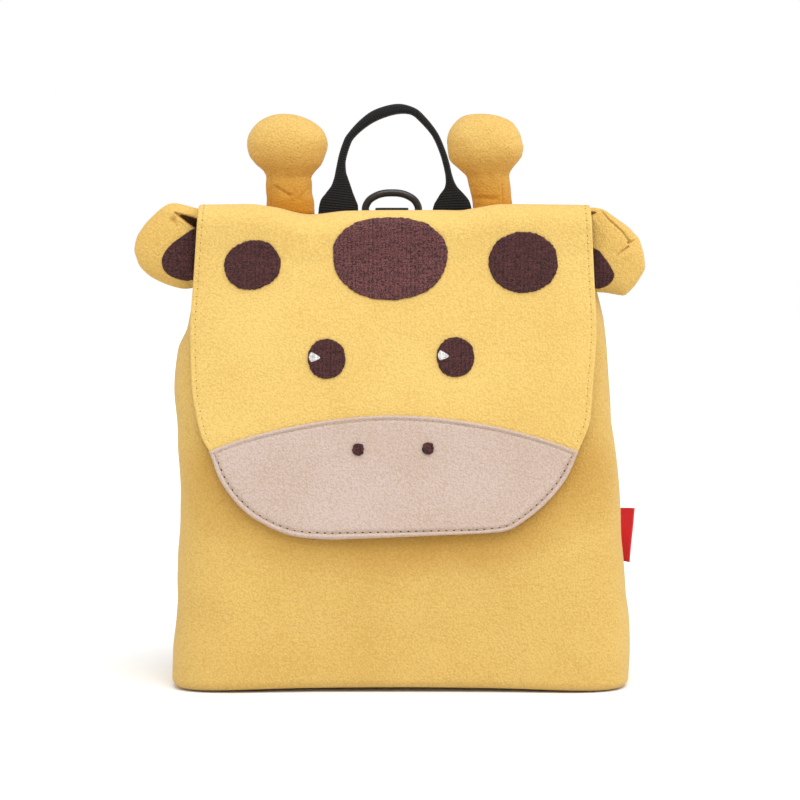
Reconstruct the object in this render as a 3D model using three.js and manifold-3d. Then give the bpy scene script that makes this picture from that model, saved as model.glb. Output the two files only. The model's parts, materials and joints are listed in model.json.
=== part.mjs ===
import * as THREE from "three";
import { mergeVertices } from "three/addons/utils/BufferGeometryUtils.js";
import Module from "manifold-3d";

const wasm = await Module();
wasm.setup();

// Sizes in millimetres. X runs to the right of the face, Y to the back, Z up.
const FIT = 0.35;

const BODY_WIDTH = 268;
const BODY_HEIGHT = 264;
const BODY_DEPTH = 103;
const BODY_SQUARENESS = 5;
const BODY_WALL = 2.4;
const BASE_ROUNDING = 8;

const FLAP_WIDTH = 228;
const FLAP_THICKNESS = 3;
const FLAP_CLEARANCE = 0.8;
const FLAP_EDGE_HEIGHT = 88;
const FLAP_EDGE_LIFT = 3.4;
const FLAP_SIDE_BEND = 5;
const RIDGE_ABOVE_RIM = 14.6;
const RIDGE_RADIUS = 12;
const RIDGE_SAG = 7;
const TOP_FALL = 3;
const HEM_RADIUS = 8;
const HEM_LENGTH = 14;

const MUZZLE_THICKNESS = 1.6;
const MUZZLE_SIDE_HEIGHT = 50;
const MUZZLE_MIDDLE_HEIGHT = 71;
const EMBROIDERY_THICKNESS = 1;

const EAR_REACH = 33;
const EAR_HEIGHT = 49;
const EAR_THICKNESS = 16;
const EAR_SETBACK = 13;
const EAR_PATCH_THICKNESS = 1;

const HORN_WIDTH = 48;
const HORN_HEIGHT = 57;
const HORN_DEPTH = 33;
const HORN_SETBACK = 50;
const HORN_LEFT_X = -62.5;
const HORN_RIGHT_X = 54;

const HANDLE_SPAN = 68;
const HANDLE_RISE = 83;
const HANDLE_WEBBING_WIDTH = 25;
const HANDLE_WEBBING_THICKNESS = 2;
const HANDLE_GRIP_WIDTH = 6;
const HANDLE_GRIP_DEPTH = 10;

const RING_X = -2.6;
const RING_WIDTH = 32;
const RING_RISE = 12.8;
const RING_WIRE = 4;
const RING_PLAY = 0.4;
const KEEPER_WIDTH = 20;
const KEEPER_WEBBING = 1.3;
const KEEPER_TAIL = 15;

const LABEL_REACH = 9;
const LABEL_HEIGHT = 31;
const LABEL_THICKNESS = 1.6;
const LABEL_BASE_HEIGHT = 70;

const PANEL_SIDE_MARGIN = 34;
const PANEL_FOOT = 56;
const PANEL_THICKNESS = 6;
const PANEL_HEM = 2;

const STRAP_WIDTH = 42;
const STRAP_THICKNESS = 7;
const STRAP_DROP = 138;
const STRAP_BOW = 26;
const STRAP_TOP_X = 40;
const STRAP_SPLAY = 26;
const ADJUSTER_WIDTH = 32;
const ADJUSTER_LENGTH = 24;
const ADJUSTER_THICKNESS = 4;
const ADJUSTER_SLOT = 4.5;
const WEBBING_WIDTH = 22;
const WEBBING_THICKNESS = 1.6;
const WEBBING_FOOT_X = 92;
const WEBBING_FOOT_HEIGHT = 30;

// Body sections from the top of the base rounding to the rim, as shares of the height,
// width and depth: left and right of the middle, to the front and to the back.
const BODY_SECTIONS = [
  { up: 0, left: 0.491, right: 0.506, front: 0.515, back: 0.476 },
  { up: 0.063, left: 0.489, right: 0.509, front: 0.519, back: 0.476 },
  { up: 0.133, left: 0.481, right: 0.507, front: 0.519, back: 0.476 },
  { up: 0.242, left: 0.477, right: 0.497, front: 0.51, back: 0.471 },
  { up: 0.418, left: 0.469, right: 0.4865, front: 0.486, back: 0.466 },
  { up: 0.523, left: 0.4745, right: 0.476, front: 0.471, back: 0.461 },
  { up: 0.648, left: 0.481, right: 0.466, front: 0.452, back: 0.456 },
  { up: 0.727, left: 0.4745, right: 0.4605, front: 0.437, back: 0.452 },
  { up: 0.78, left: 0.4535, right: 0.4545, front: 0.427, back: 0.447 },
  { up: 0.875, left: 0.436, right: 0.434, front: 0.4, back: 0.438 },
  { up: 0.945, left: 0.417, right: 0.416, front: 0.38, back: 0.432 },
  { up: 1, left: 0.395, right: 0.395, front: 0.335, back: 0.39 },
];

// Flap side edges from its lower edge to the ridge, as shares of the flap width.
// lift is the share of FLAP_EDGE_LIFT by which the right end of the row is higher.
const FLAP_SIDES = [
  { up: 0, left: 0.2, right: 0.24, lift: 1 },
  { up: 0.014, left: 0.268, right: 0.286, lift: 0.9 },
  { up: 0.038, left: 0.319, right: 0.315, lift: 0.7 },
  { up: 0.08, left: 0.375, right: 0.357, lift: 0.45 },
  { up: 0.135, left: 0.418, right: 0.4, lift: 0.25 },
  { up: 0.19, left: 0.446, right: 0.431, lift: 0.1 },
  { up: 0.262, left: 0.468, right: 0.457, lift: 0 },
  { up: 0.295, left: 0.485, right: 0.47, lift: 0 },
  { up: 0.358, left: 0.5, right: 0.488, lift: 0 },
  { up: 0.466, left: 0.514, right: 0.495, lift: 0 },
  { up: 0.635, left: 0.518, right: 0.504, lift: 0 },
  { up: 0.777, left: 0.51, right: 0.499, lift: 0 },
  { up: 1, left: 0.497, right: 0.49, lift: 0 },
];

// Dip of the ridge line across the flap: share of the half width against share of RIDGE_SAG.
const RIDGE_DIPS = [
  { across: -1, sag: 0.03 },
  { across: -0.75, sag: 0 },
  { across: -0.62, sag: 0.28 },
  { across: -0.44, sag: 1 },
  { across: -0.25, sag: 0.6 },
  { across: 0, sag: 0.47 },
  { across: 0.22, sag: 0.52 },
  { across: 0.33, sag: 0.62 },
  { across: 0.41, sag: 0.38 },
  { across: 0.54, sag: 0.06 },
  { across: 1, sag: 0.06 },
];

// Discs on the face: middle across from the centre line and above the flap's lower edge,
// half sizes, tilt in degrees, and grid cells across and up.
const DISCS = {
  spot_centre: { x: -3.4, up: 160.2, wide: 32.5, high: 23.7, tilt: 0, columns: 8, rows: 11 },
  spot_left: { x: -82, up: 156.5, wide: 16.2, high: 13.9, tilt: 14, columns: 5, rows: 5 },
  spot_right: { x: 72.7, up: 158, wide: 19.7, high: 17.4, tilt: 0, columns: 6, rows: 6 },
  eye_left: { x: -39.6, up: 103, wide: 10.7, high: 11.4, tilt: 0, columns: 5, rows: 5 },
  eye_right: { x: 33.9, up: 104, wide: 10.7, high: 11.4, tilt: 0, columns: 5, rows: 5 },
  nostril_left: { x: -21.6, up: 51.6, wide: 3, high: 3.5, tilt: 0, columns: 3, rows: 3 },
  nostril_right: { x: 18.2, up: 52.2, wide: 3, high: 3.5, tilt: 0, columns: 3, rows: 3 },
};
const HIGHLIGHT = { back: 0.86, up: 0.12, length: 5.4, height: 4.6 };

// Ear outlines as shares of the reach and height, from the top of the root round the tip.
const EAR_LEFT_OUTLINE = [
  { out: -0.2, up: 0.4 },
  { out: -0.03, up: 0.46 },
  { out: 0.21, up: 0.51 },
  { out: 0.42, up: 0.5 },
  { out: 0.58, up: 0.457 },
  { out: 0.845, up: 0.298 },
  { out: 1.0, up: 0.165 },
  { out: 1.08, up: 0.01 },
  { out: 1.06, up: -0.1 },
  { out: 0.99, up: -0.224 },
  { out: 0.88, up: -0.296 },
  { out: 0.71, up: -0.373 },
  { out: 0.415, up: -0.457 },
  { out: 0.19, up: -0.492 },
  { out: -0.02, up: -0.49 },
  { out: -0.2, up: -0.42 },
];
const EAR_RIGHT_OUTLINE = [
  { out: -0.2, up: 0.4 },
  { out: -0.04, up: 0.47 },
  { out: 0.17, up: 0.46 },
  { out: 0.41, up: 0.345 },
  { out: 0.6, up: 0.228 },
  { out: 0.755, up: 0.135 },
  { out: 0.86, up: -0.05 },
  { out: 0.89, up: -0.2 },
  { out: 0.86, up: -0.32 },
  { out: 0.73, up: -0.47 },
  { out: 0.6, up: -0.555 },
  { out: 0.43, up: -0.555 },
  { out: 0.227, up: -0.53 },
  { out: -0.02, up: -0.51 },
  { out: -0.2, up: -0.45 },
];
const PATCH_LEFT_OUTLINE = [
  { out: 0.05, up: 0.24 },
  { out: 0.233, up: 0.14 },
  { out: 0.4, up: 0.053 },
  { out: 0.51, up: -0.047 },
  { out: 0.59, up: -0.163 },
  { out: 0.57, up: -0.255 },
  { out: 0.51, up: -0.306 },
  { out: 0.345, up: -0.365 },
  { out: 0.19, up: -0.39 },
  { out: 0.04, up: -0.36 },
  { out: -0.0, up: -0.05 },
];
const PATCH_RIGHT_OUTLINE = [
  { out: 0.03, up: 0.01 },
  { out: 0.12, up: -0.03 },
  { out: 0.2, up: -0.1 },
  { out: 0.306, up: -0.2 },
  { out: 0.36, up: -0.3 },
  { out: 0.35, up: -0.38 },
  { out: 0.288, up: -0.44 },
  { out: 0.167, up: -0.475 },
  { out: 0.05, up: -0.46 },
  { out: 0.01, up: -0.25 },
];

// Horn sections from the base: shares of the height, width and depth, and the sideways
// shift of each horn's middle as a share of the width.
const HORN_SECTIONS = [
  { up: 0, wide: 0.58, deep: 0.62, left: 0.01, right: 0.06 },
  { up: 0.12, wide: 0.59, deep: 0.62, left: 0.0, right: 0.05 },
  { up: 0.28, wide: 0.56, deep: 0.6, left: -0.02, right: 0.02 },
  { up: 0.38, wide: 0.57, deep: 0.62, left: -0.02, right: 0.0 },
  { up: 0.44, wide: 0.66, deep: 0.72, left: -0.01, right: -0.02 },
  { up: 0.51, wide: 0.83, deep: 0.86, left: -0.02, right: -0.03 },
  { up: 0.59, wide: 0.95, deep: 0.97, left: -0.03, right: -0.03 },
  { up: 0.68, wide: 1.0, deep: 1.0, left: -0.04, right: -0.03 },
  { up: 0.76, wide: 0.99, deep: 0.97, left: -0.04, right: -0.05 },
  { up: 0.84, wide: 0.9, deep: 0.88, left: -0.045, right: -0.055 },
  { up: 0.92, wide: 0.72, deep: 0.7, left: -0.05, right: -0.05 },
  { up: 0.975, wide: 0.42, deep: 0.44, left: -0.06, right: -0.08 },
  { up: 1, wide: 0.12, deep: 0.15, left: -0.07, right: -0.1 },
];

// Handle middle line as shares of span and rise; grip runs from flat webbing to rolled tube.
const HANDLE_LINE = [
  { across: -0.51, up: 0, grip: 0 },
  { across: -0.51, up: 0.12, grip: 0 },
  { across: -0.5, up: 0.24, grip: 0.08 },
  { across: -0.49, up: 0.33, grip: 0.35 },
  { across: -0.487, up: 0.42, grip: 0.72 },
  { across: -0.49, up: 0.53, grip: 1 },
  { across: -0.46, up: 0.66, grip: 1 },
  { across: -0.39, up: 0.8, grip: 1 },
  { across: -0.28, up: 0.9, grip: 1 },
  { across: -0.14, up: 0.965, grip: 1 },
  { across: 0.01, up: 1, grip: 1 },
  { across: 0.145, up: 0.985, grip: 1 },
  { across: 0.24, up: 0.92, grip: 1 },
  { across: 0.34, up: 0.81, grip: 1 },
  { across: 0.41, up: 0.67, grip: 1 },
  { across: 0.455, up: 0.54, grip: 1 },
  { across: 0.485, up: 0.42, grip: 0.72 },
  { across: 0.5, up: 0.33, grip: 0.35 },
  { across: 0.51, up: 0.24, grip: 0.08 },
  { across: 0.51, up: 0.12, grip: 0 },
  { across: 0.51, up: 0, grip: 0 },
];

// Padded strap from its seam at the top to its lower end.
const STRAP_LINE = [
  { down: 0, bow: 0, splay: 0, wide: 0.8 },
  { down: 0.06, bow: 0.0, splay: 0.02, wide: 0.9 },
  { down: 0.16, bow: 0.3, splay: 0.08, wide: 1 },
  { down: 0.3, bow: 0.72, splay: 0.25, wide: 1 },
  { down: 0.48, bow: 1, splay: 0.5, wide: 1 },
  { down: 0.68, bow: 1, splay: 0.75, wide: 0.96 },
  { down: 0.86, bow: 0.85, splay: 0.93, wide: 0.88 },
  { down: 1, bow: 0.7, splay: 1, wide: 0.74 },
];

// Value of a column at a place in a table sorted by the key column, smooth and never beyond
// the rows on either side.
function smoothAt(rows, key, place, column) {
  const last = rows.length - 1;
  const t = THREE.MathUtils.clamp(place, rows[0][key], rows[last][key]);
  let i = 0;
  while (i < last - 1 && rows[i + 1][key] < t) i += 1;
  const a = rows[i];
  const b = rows[i + 1];
  const rise = (j) => {
    const k = THREE.MathUtils.clamp(j, 0, last - 1);
    return (rows[k + 1][column] - rows[k][column]) / (rows[k + 1][key] - rows[k][key]);
  };
  const slope = (j) => {
    const before = rise(j - 1);
    const after = rise(j);
    return before * after > 0 ? (2 * before * after) / (before + after) : 0;
  };
  const span = b[key] - a[key];
  const f = (t - a[key]) / span;
  const start = (1 + 2 * f) * (1 - f) ** 2 * a[column] + f * f * (3 - 2 * f) * b[column];
  return start + span * (f * (1 - f) ** 2 * slope(i) + f * f * (f - 1) * slope(i + 1));
}

// Triangles from points and index triples, turned so that the faces look outwards.
function closedGeometry(points, triples) {
  const flat = points.flatMap((p) => [p.x, p.y, p.z]);
  let volume = 0;
  for (const [a, b, c] of triples) {
    volume += points[a].dot(new THREE.Vector3().crossVectors(points[b], points[c]));
  }
  const turned = volume < 0 ? triples.map(([a, b, c]) => [a, c, b]) : triples;
  const geometry = new THREE.BufferGeometry();
  geometry.setAttribute("position", new THREE.Float32BufferAttribute(flat, 3));
  geometry.setIndex(turned.flat());
  return geometry;
}

// A plate between two grids of points, closed round its four sides.
function plate(columns, rows, faceAt, backAt) {
  const points = [];
  const triples = [];
  const id = (side, i, j) => side * (columns + 1) * (rows + 1) + j * (columns + 1) + i;
  for (const at of [faceAt, backAt]) {
    for (let j = 0; j <= rows; j += 1) {
      for (let i = 0; i <= columns; i += 1) points.push(at(i / columns, j / rows));
    }
  }
  const quad = (a, b, c, d) => triples.push([a, b, c], [a, c, d]);
  for (let j = 0; j < rows; j += 1) {
    for (let i = 0; i < columns; i += 1) {
      quad(id(0, i, j), id(0, i + 1, j), id(0, i + 1, j + 1), id(0, i, j + 1));
      quad(id(1, i, j), id(1, i, j + 1), id(1, i + 1, j + 1), id(1, i + 1, j));
    }
    quad(id(0, 0, j), id(0, 0, j + 1), id(1, 0, j + 1), id(1, 0, j));
    quad(id(0, columns, j + 1), id(0, columns, j), id(1, columns, j), id(1, columns, j + 1));
  }
  for (let i = 0; i < columns; i += 1) {
    quad(id(0, i + 1, 0), id(0, i, 0), id(1, i, 0), id(1, i + 1, 0));
    quad(id(0, i, rows), id(0, i + 1, rows), id(1, i + 1, rows), id(1, i, rows));
  }
  return closedGeometry(points, triples);
}

// A solid through closed loops of points, with a fan on the first and the last loop.
function loft(loops) {
  const count = loops[0].length;
  const points = loops.flat();
  const triples = [];
  const middle = (loop) =>
    loop.reduce((sum, p) => sum.add(p), new THREE.Vector3()).divideScalar(loop.length);
  const first = points.push(middle(loops[0])) - 1;
  const last = points.push(middle(loops[loops.length - 1])) - 1;
  for (let i = 0; i < count; i += 1) {
    const next = (i + 1) % count;
    triples.push([first, next, i]);
    for (let k = 0; k < loops.length - 1; k += 1) {
      const here = k * count;
      const above = here + count;
      triples.push([here + i, here + next, above + next], [here + i, above + next, above + i]);
    }
    const top = (loops.length - 1) * count;
    triples.push([last, top + i, top + next]);
  }
  return closedGeometry(points, triples);
}

// Points round an oval whose corners grow squarer with the power.
function ovalLoop(count, power, place) {
  return Array.from({ length: count }, (unused, i) => {
    const angle = ((i + 0.5) / count) * Math.PI * 2;
    const c = Math.cos(angle);
    const s = Math.sin(angle);
    return place(
      Math.sign(c) * Math.abs(c) ** (2 / power),
      Math.sign(s) * Math.abs(s) ** (2 / power),
    );
  });
}

// A band swept along points; side is its width direction and size(i) gives width and thickness.
function sweep(path, side, count, power, size) {
  const loops = path.map((point, i) => {
    const before = path[Math.max(i - 1, 0)];
    const after = path[Math.min(i + 1, path.length - 1)];
    const along = after.clone().sub(before).normalize();
    const through = new THREE.Vector3().crossVectors(along, side).normalize();
    const across = new THREE.Vector3().crossVectors(through, along).normalize();
    const { wide, thick } = size(i);
    return ovalLoop(count, power, (a, b) =>
      point.clone().addScaledVector(across, (a * wide) / 2).addScaledVector(through, (b * thick) / 2),
    );
  });
  return loft(loops);
}

function solidOf(geometry) {
  const merged = mergeVertices(geometry, 1e-4);
  const mesh = new wasm.Mesh({
    numProp: 3,
    vertProperties: merged.attributes.position.array,
    triVerts: new Uint32Array(merged.index.array),
  });
  return new wasm.Manifold(mesh);
}

// The geometry less its neighbours.
function cutBy(geometry, neighbours) {
  const cut = neighbours.reduce((solid, other) => solid.subtract(solidOf(other)), solidOf(geometry));
  const mesh = cut.getMesh();
  const made = new THREE.BufferGeometry();
  made.setAttribute("position", new THREE.BufferAttribute(mesh.vertProperties, 3));
  made.setIndex(new THREE.BufferAttribute(mesh.triVerts, 1));
  return mergeVertices(made, 1e-4);
}

// Body
function bodySection(height) {
  const up = (height - BASE_ROUNDING) / (BODY_HEIGHT - BASE_ROUNDING);
  const at = (column) => smoothAt(BODY_SECTIONS, "up", up, column);
  const left = -at("left") * BODY_WIDTH;
  const right = at("right") * BODY_WIDTH;
  const front = -at("front") * BODY_DEPTH;
  const back = at("back") * BODY_DEPTH;
  return {
    x: (left + right) / 2,
    y: (front + back) / 2,
    halfWidth: (right - left) / 2,
    halfDepth: (back - front) / 2,
  };
}

// Body loop at a height, grown outwards by grow; the base rounding narrows the lowest loops.
function bodyLoop(height, grow, floor) {
  const section = bodySection(Math.max(height, BASE_ROUNDING));
  const radius = BASE_ROUNDING + grow;
  const below = Math.max(floor + radius - height, 0);
  const inset = radius - Math.sqrt(Math.max(radius * radius - below * below, 0));
  return ovalLoop(44, BODY_SQUARENESS, (a, b) => new THREE.Vector3(
    section.x + a * (section.halfWidth + grow - inset),
    section.y + b * (section.halfDepth + grow - inset),
    height,
  ));
}

function roundingHeights(grow, floor) {
  const radius = BASE_ROUNDING + grow;
  return [0, 0.12, 0.45, 1].map((share) => floor + share * radius);
}

function bodyOuterLoops(grow) {
  const climb = BODY_HEIGHT - BASE_ROUNDING;
  const rows = BODY_SECTIONS.slice(1).map((row) => BASE_ROUNDING + row.up * climb);
  const between = [0.33, 0.59, 0.83].map((up) => BASE_ROUNDING + up * climb);
  const heights = [...rows, ...between].sort((a, b) => a - b);
  return [...roundingHeights(grow, -grow), ...heights].map((z) => bodyLoop(z, grow, -grow));
}

function bodyShell() {
  const inner = [1, 0.9, 0.75, 0.55, 0.35, 0.18].map((share) => BODY_HEIGHT * share);
  const foot = roundingHeights(-BODY_WALL, BODY_WALL).reverse();
  const innerLoops = [...inner, ...foot].map((z) => bodyLoop(z, -BODY_WALL, BODY_WALL));
  return loft([...bodyOuterLoops(0), ...innerLoops]);
}

function bodyBlock(grow) {
  return loft(bodyOuterLoops(grow));
}

function bodyBack(x, height) {
  const section = bodySection(height);
  const share = Math.min(Math.abs(x - section.x) / section.halfWidth, 0.999);
  const power = BODY_SQUARENESS;
  return section.y + section.halfDepth * (1 - share ** power) ** (1 / power);
}

// Flap
const ridgeHeight = BODY_HEIGHT + RIDGE_ABOVE_RIM;
const bodyLean = (height) => {
  const section = bodySection(Math.min(height, BODY_HEIGHT * 0.95));
  return section.y - section.halfDepth;
};
const flapStandOff = FLAP_CLEARANCE + FLAP_THICKNESS;
const ridgeFront = bodyLean(BODY_HEIGHT) - flapStandOff;
const hemY = bodyBack(0, BODY_HEIGHT * 0.95) + flapStandOff;
const frontLength = ridgeHeight - RIDGE_RADIUS - FLAP_EDGE_HEIGHT;
const ridgeLength = (RIDGE_RADIUS * Math.PI) / 2;
const topLength = hemY - HEM_RADIUS - ridgeFront - RIDGE_RADIUS;
const hemTurnLength = (HEM_RADIUS * Math.PI) / 2;
const flapLength = frontLength + ridgeLength + topLength + hemTurnLength + HEM_LENGTH;
const hemFoot = ridgeHeight - TOP_FALL - HEM_RADIUS - HEM_LENGTH;

// Side line of the flap's outer face, s millimetres from its lower edge; sag and bend are
// how far the dips of the ridge and the bend of the side edges take part.
function flapLine(s) {
  if (s <= frontLength) {
    const z = FLAP_EDGE_HEIGHT + s;
    const rise = THREE.MathUtils.smoothstep(s / frontLength, 0.6, 1);
    return { y: bodyLean(z) - flapStandOff, z, sag: rise, bend: 1 - 0.6 * rise };
  }
  if (s <= frontLength + ridgeLength) {
    const turn = (s - frontLength) / RIDGE_RADIUS;
    const y = ridgeFront + RIDGE_RADIUS * (1 - Math.cos(turn));
    const z = ridgeHeight - RIDGE_RADIUS * (1 - Math.sin(turn));
    return { y, z, sag: 1, bend: 0.4 * (1 - turn / (Math.PI / 2)) };
  }
  const onTop = s - frontLength - ridgeLength;
  if (onTop <= topLength) {
    const share = onTop / topLength;
    const z = ridgeHeight - TOP_FALL * share * share;
    return { y: ridgeFront + RIDGE_RADIUS + onTop, z, sag: 1 - 0.6 * share, bend: 0 };
  }
  const turn = Math.min((onTop - topLength) / HEM_RADIUS, Math.PI / 2);
  const down = Math.max(onTop - topLength - hemTurnLength, 0);
  const y = hemY - HEM_RADIUS * (1 - Math.sin(turn));
  const z = ridgeHeight - TOP_FALL - HEM_RADIUS * (1 - Math.cos(turn)) - down;
  return { y, z, sag: 0.4 * (1 - turn / (Math.PI / 2)), bend: 0 };
}

// Left and right edge and lift of the flap at s.
function flapSides(s) {
  const up = s / (ridgeHeight - FLAP_EDGE_HEIGHT);
  const narrowing = 1 - 0.06 * THREE.MathUtils.smoothstep(s, frontLength + ridgeLength, flapLength);
  return {
    left: -smoothAt(FLAP_SIDES, "up", up, "left") * FLAP_WIDTH * narrowing,
    right: smoothAt(FLAP_SIDES, "up", up, "right") * FLAP_WIDTH * narrowing,
    lift: smoothAt(FLAP_SIDES, "up", up, "lift") * FLAP_EDGE_LIFT,
  };
}

function flapPoint(x, s, lift) {
  const line = flapLine(s);
  const across = x / (FLAP_WIDTH / 2);
  const dip = smoothAt(RIDGE_DIPS, "across", across, "sag") * RIDGE_SAG * line.sag;
  const bend = FLAP_SIDE_BEND * line.bend * Math.min(Math.abs(across), 1.1) ** 4;
  return new THREE.Vector3(x, line.y + bend, line.z - dip + lift);
}

function flapNormal(x, s) {
  const step = 0.5;
  const across = flapPoint(x + step, s, 0).sub(flapPoint(x - step, s, 0));
  const along = flapPoint(x, Math.min(s + step, flapLength), 0)
    .sub(flapPoint(x, Math.max(s - step, 0), 0));
  return across.cross(along).normalize();
}

// Place on the flap, across from -1 to 1 between its side edges, off millimetres outwards.
function flapAt(across, s, off, grow = 0) {
  const sides = flapSides(s);
  const share = (across + 1) / 2;
  const x = THREE.MathUtils.lerp(sides.left - grow, sides.right + grow, share);
  return flapPoint(x, s, sides.lift * share).addScaledVector(flapNormal(x, s), off);
}

function flapRows() {
  const drop = ridgeHeight - FLAP_EDGE_HEIGHT;
  const lower = FLAP_SIDES.slice(0, -1).map((row) => row.up * drop);
  const upper = [0.55, 0.7, 0.8, 0.87, 0.912, 0.96].map((share) => share * frontLength);
  const ridge = [0, 0.25, 0.5, 0.75, 1].map((share) => frontLength + share * ridgeLength);
  const top = [0.2, 0.45, 0.72, 1].map((share) => frontLength + ridgeLength + share * topLength);
  const turn = [0.33, 0.67, 1].map(
    (share) => frontLength + ridgeLength + topLength + share * hemTurnLength,
  );
  const rows = [...lower, 0.005 * drop, 0.025 * drop, 0.058 * drop, 0.106 * drop, ...upper];
  return [...rows.sort((a, b) => a - b), ...ridge, ...top, ...turn, flapLength];
}

function flapPlate(grow) {
  const rows = flapRows();
  const last = rows.length - 1;
  rows[0] -= grow;
  rows[last] += grow;
  const at = (off) => (i, j) => flapAt(i * 2 - 1, rows[Math.round(j * last)], off, grow);
  return plate(20, last, at(grow), at(-FLAP_THICKNESS - grow));
}

// Muzzle panel: the lowest part of the flap's face up to an arch.
function muzzleTop(across) {
  const fall = (MUZZLE_MIDDLE_HEIGHT - MUZZLE_SIDE_HEIGHT) * Math.abs(across) ** 1.8;
  return MUZZLE_MIDDLE_HEIGHT - fall;
}

function muzzlePanel() {
  const at = (off) => (i, j) => {
    const across = Math.sin(((i * 2 - 1) * Math.PI) / 2);
    return flapAt(across, muzzleTop(across) * j ** 1.6, off);
  };
  return plate(20, 8, at(FIT + MUZZLE_THICKNESS), at(FIT));
}

// Distance along the flap at which its face is a given height above the lower edge.
function flapDistance(x, up) {
  let low = 0;
  let high = frontLength + ridgeLength * 0.97;
  for (let i = 0; i < 30; i += 1) {
    const middle = (low + high) / 2;
    if (flapPoint(x, middle, 0).z < FLAP_EDGE_HEIGHT + up) low = middle;
    else high = middle;
  }
  return (low + high) / 2;
}

// A thin pad on the flap's face: shapeAt gives a place for each grid share.
function facePad(columns, rows, under, shapeAt) {
  const at = (off) => (i, j) => {
    const { x, up } = shapeAt(i * 2 - 1, j * 2 - 1);
    const s = flapDistance(x, up);
    return flapPoint(x, s, 0).addScaledVector(flapNormal(x, s), off);
  };
  return plate(columns, rows, at(under + EMBROIDERY_THICKNESS), at(under));
}

function disc(name, under) {
  const { x, up, wide, high, tilt, columns, rows } = DISCS[name];
  const turn = THREE.MathUtils.degToRad(tilt);
  return facePad(columns, rows, under, (a, b) => {
    const across = a * Math.sqrt(1 - (b * b) / 2) * wide;
    const above = b * Math.sqrt(1 - (a * a) / 2) * high;
    return {
      x: x + across * Math.cos(turn) - above * Math.sin(turn),
      up: up + across * Math.sin(turn) + above * Math.cos(turn),
    };
  });
}

// Wedge of light on an eye, widest at the eye's left rim.
function highlight(eye, under) {
  const { x, up, wide, high } = DISCS[eye];
  return facePad(3, 3, under, (a, b) => {
    const share = (a + 1) / 2;
    return {
      x: x - wide * HIGHLIGHT.back + share * HIGHLIGHT.length,
      up: up + high * HIGHLIGHT.up + (b * HIGHLIGHT.height * (1.08 - share)) / 2,
    };
  });
}

// Ears
function earRoot(side) {
  const s = frontLength - EAR_HEIGHT * 0.25;
  const sides = flapSides(s);
  const x = side < 0 ? sides.left : sides.right;
  const line = flapLine(s);
  return new THREE.Vector3(x, line.y + FLAP_THICKNESS + EAR_SETBACK, line.z);
}

// Outline as the reach from a middle point at each of count angles.
function reaches(outline, middle, count) {
  const places = outline.map((row) => ({
    x: (row.out - middle.out) * EAR_REACH,
    z: (row.up - middle.up) * EAR_HEIGHT,
  }));
  const curve = new THREE.CatmullRomCurve3(
    places.map((p) => new THREE.Vector3(p.x, 0, p.z)), true, "centripetal",
  );
  return curve.getSpacedPoints(count).slice(0, count);
}

const EAR_MIDDLE = { out: 0.4, up: 0 };
const earShapes = {
  left: { side: -1, outline: EAR_LEFT_OUTLINE, patch: PATCH_LEFT_OUTLINE },
  right: { side: 1, outline: EAR_RIGHT_OUTLINE, patch: PATCH_RIGHT_OUTLINE },
};

// Half thickness of the ear at a share of the way from its middle to its edge.
const earSwell = (share) => (EAR_THICKNESS / 2) * Math.sqrt(Math.max(1 - share ** 2.6, 0.02));

function earCore(name) {
  const { side, outline } = earShapes[name];
  const root = earRoot(side);
  const middle = root.clone().add(
    new THREE.Vector3(side * EAR_MIDDLE.out * EAR_REACH, 0, EAR_MIDDLE.up * EAR_HEIGHT),
  );
  return { side, middle, rim: reaches(outline, EAR_MIDDLE, 20) };
}

function ear(name) {
  const { side, middle, rim } = earCore(name);
  const loop = (share, face) => rim.map((p) => new THREE.Vector3(
    middle.x + side * p.x * share,
    middle.y + face * earSwell(share),
    middle.z + p.z * share,
  ));
  const shares = [0.12, 0.5, 0.78, 0.93];
  const front = shares.map((share) => loop(share, -1));
  const back = shares.map((share) => loop(share, 1)).reverse();
  const body = loft([...front, loop(1, -1), loop(1, 1), ...back]);
  return cutBy(body, [bodyBlock(FIT), flapPlate(FIT)]);
}

// Front face of the ear at an offset from its middle.
function earFace(rim, x, z) {
  const angle = Math.atan2(z, x);
  const gap = (p) => Math.abs(Math.atan2(Math.sin(Math.atan2(p.z, p.x) - angle),
    Math.cos(Math.atan2(p.z, p.x) - angle)));
  const near = [...rim].sort((a, b) => gap(a) - gap(b)).slice(0, 2);
  const reach = (near[0].length() * gap(near[1]) + near[1].length() * gap(near[0]))
    / (gap(near[0]) + gap(near[1]));
  return earSwell(Math.min(Math.hypot(x, z) / reach, 1));
}

function earPatch(name) {
  const { side, middle, rim } = earCore(name);
  const { patch } = earShapes[name];
  const centre = { out: 0.24, up: name === "left" ? -0.12 : -0.28 };
  const edge = reaches(patch, centre, 16);
  const shiftX = (centre.out - EAR_MIDDLE.out) * EAR_REACH;
  const shiftZ = (centre.up - EAR_MIDDLE.up) * EAR_HEIGHT;
  const loop = (share, off) => edge.map((p) => {
    const x = shiftX + p.x * share;
    const z = shiftZ + p.z * share;
    const y = middle.y - earFace(rim, x, z) - off;
    return new THREE.Vector3(middle.x + side * x, y, middle.z + z);
  });
  const lift = FIT + 0.3;
  const inner = [0.1, 0.6, 1].map((share) => loop(share, lift));
  const outer = [1, 0.6, 0.1].map((share) => loop(share, lift + EAR_PATCH_THICKNESS));
  return cutBy(loft([...inner, ...outer]), [flapPlate(FIT)]);
}

// Horns
function flapTop(x, y) {
  const s = frontLength + ridgeLength + (y - ridgeFront - RIDGE_RADIUS);
  return flapPoint(x, s, 0).z;
}

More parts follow.
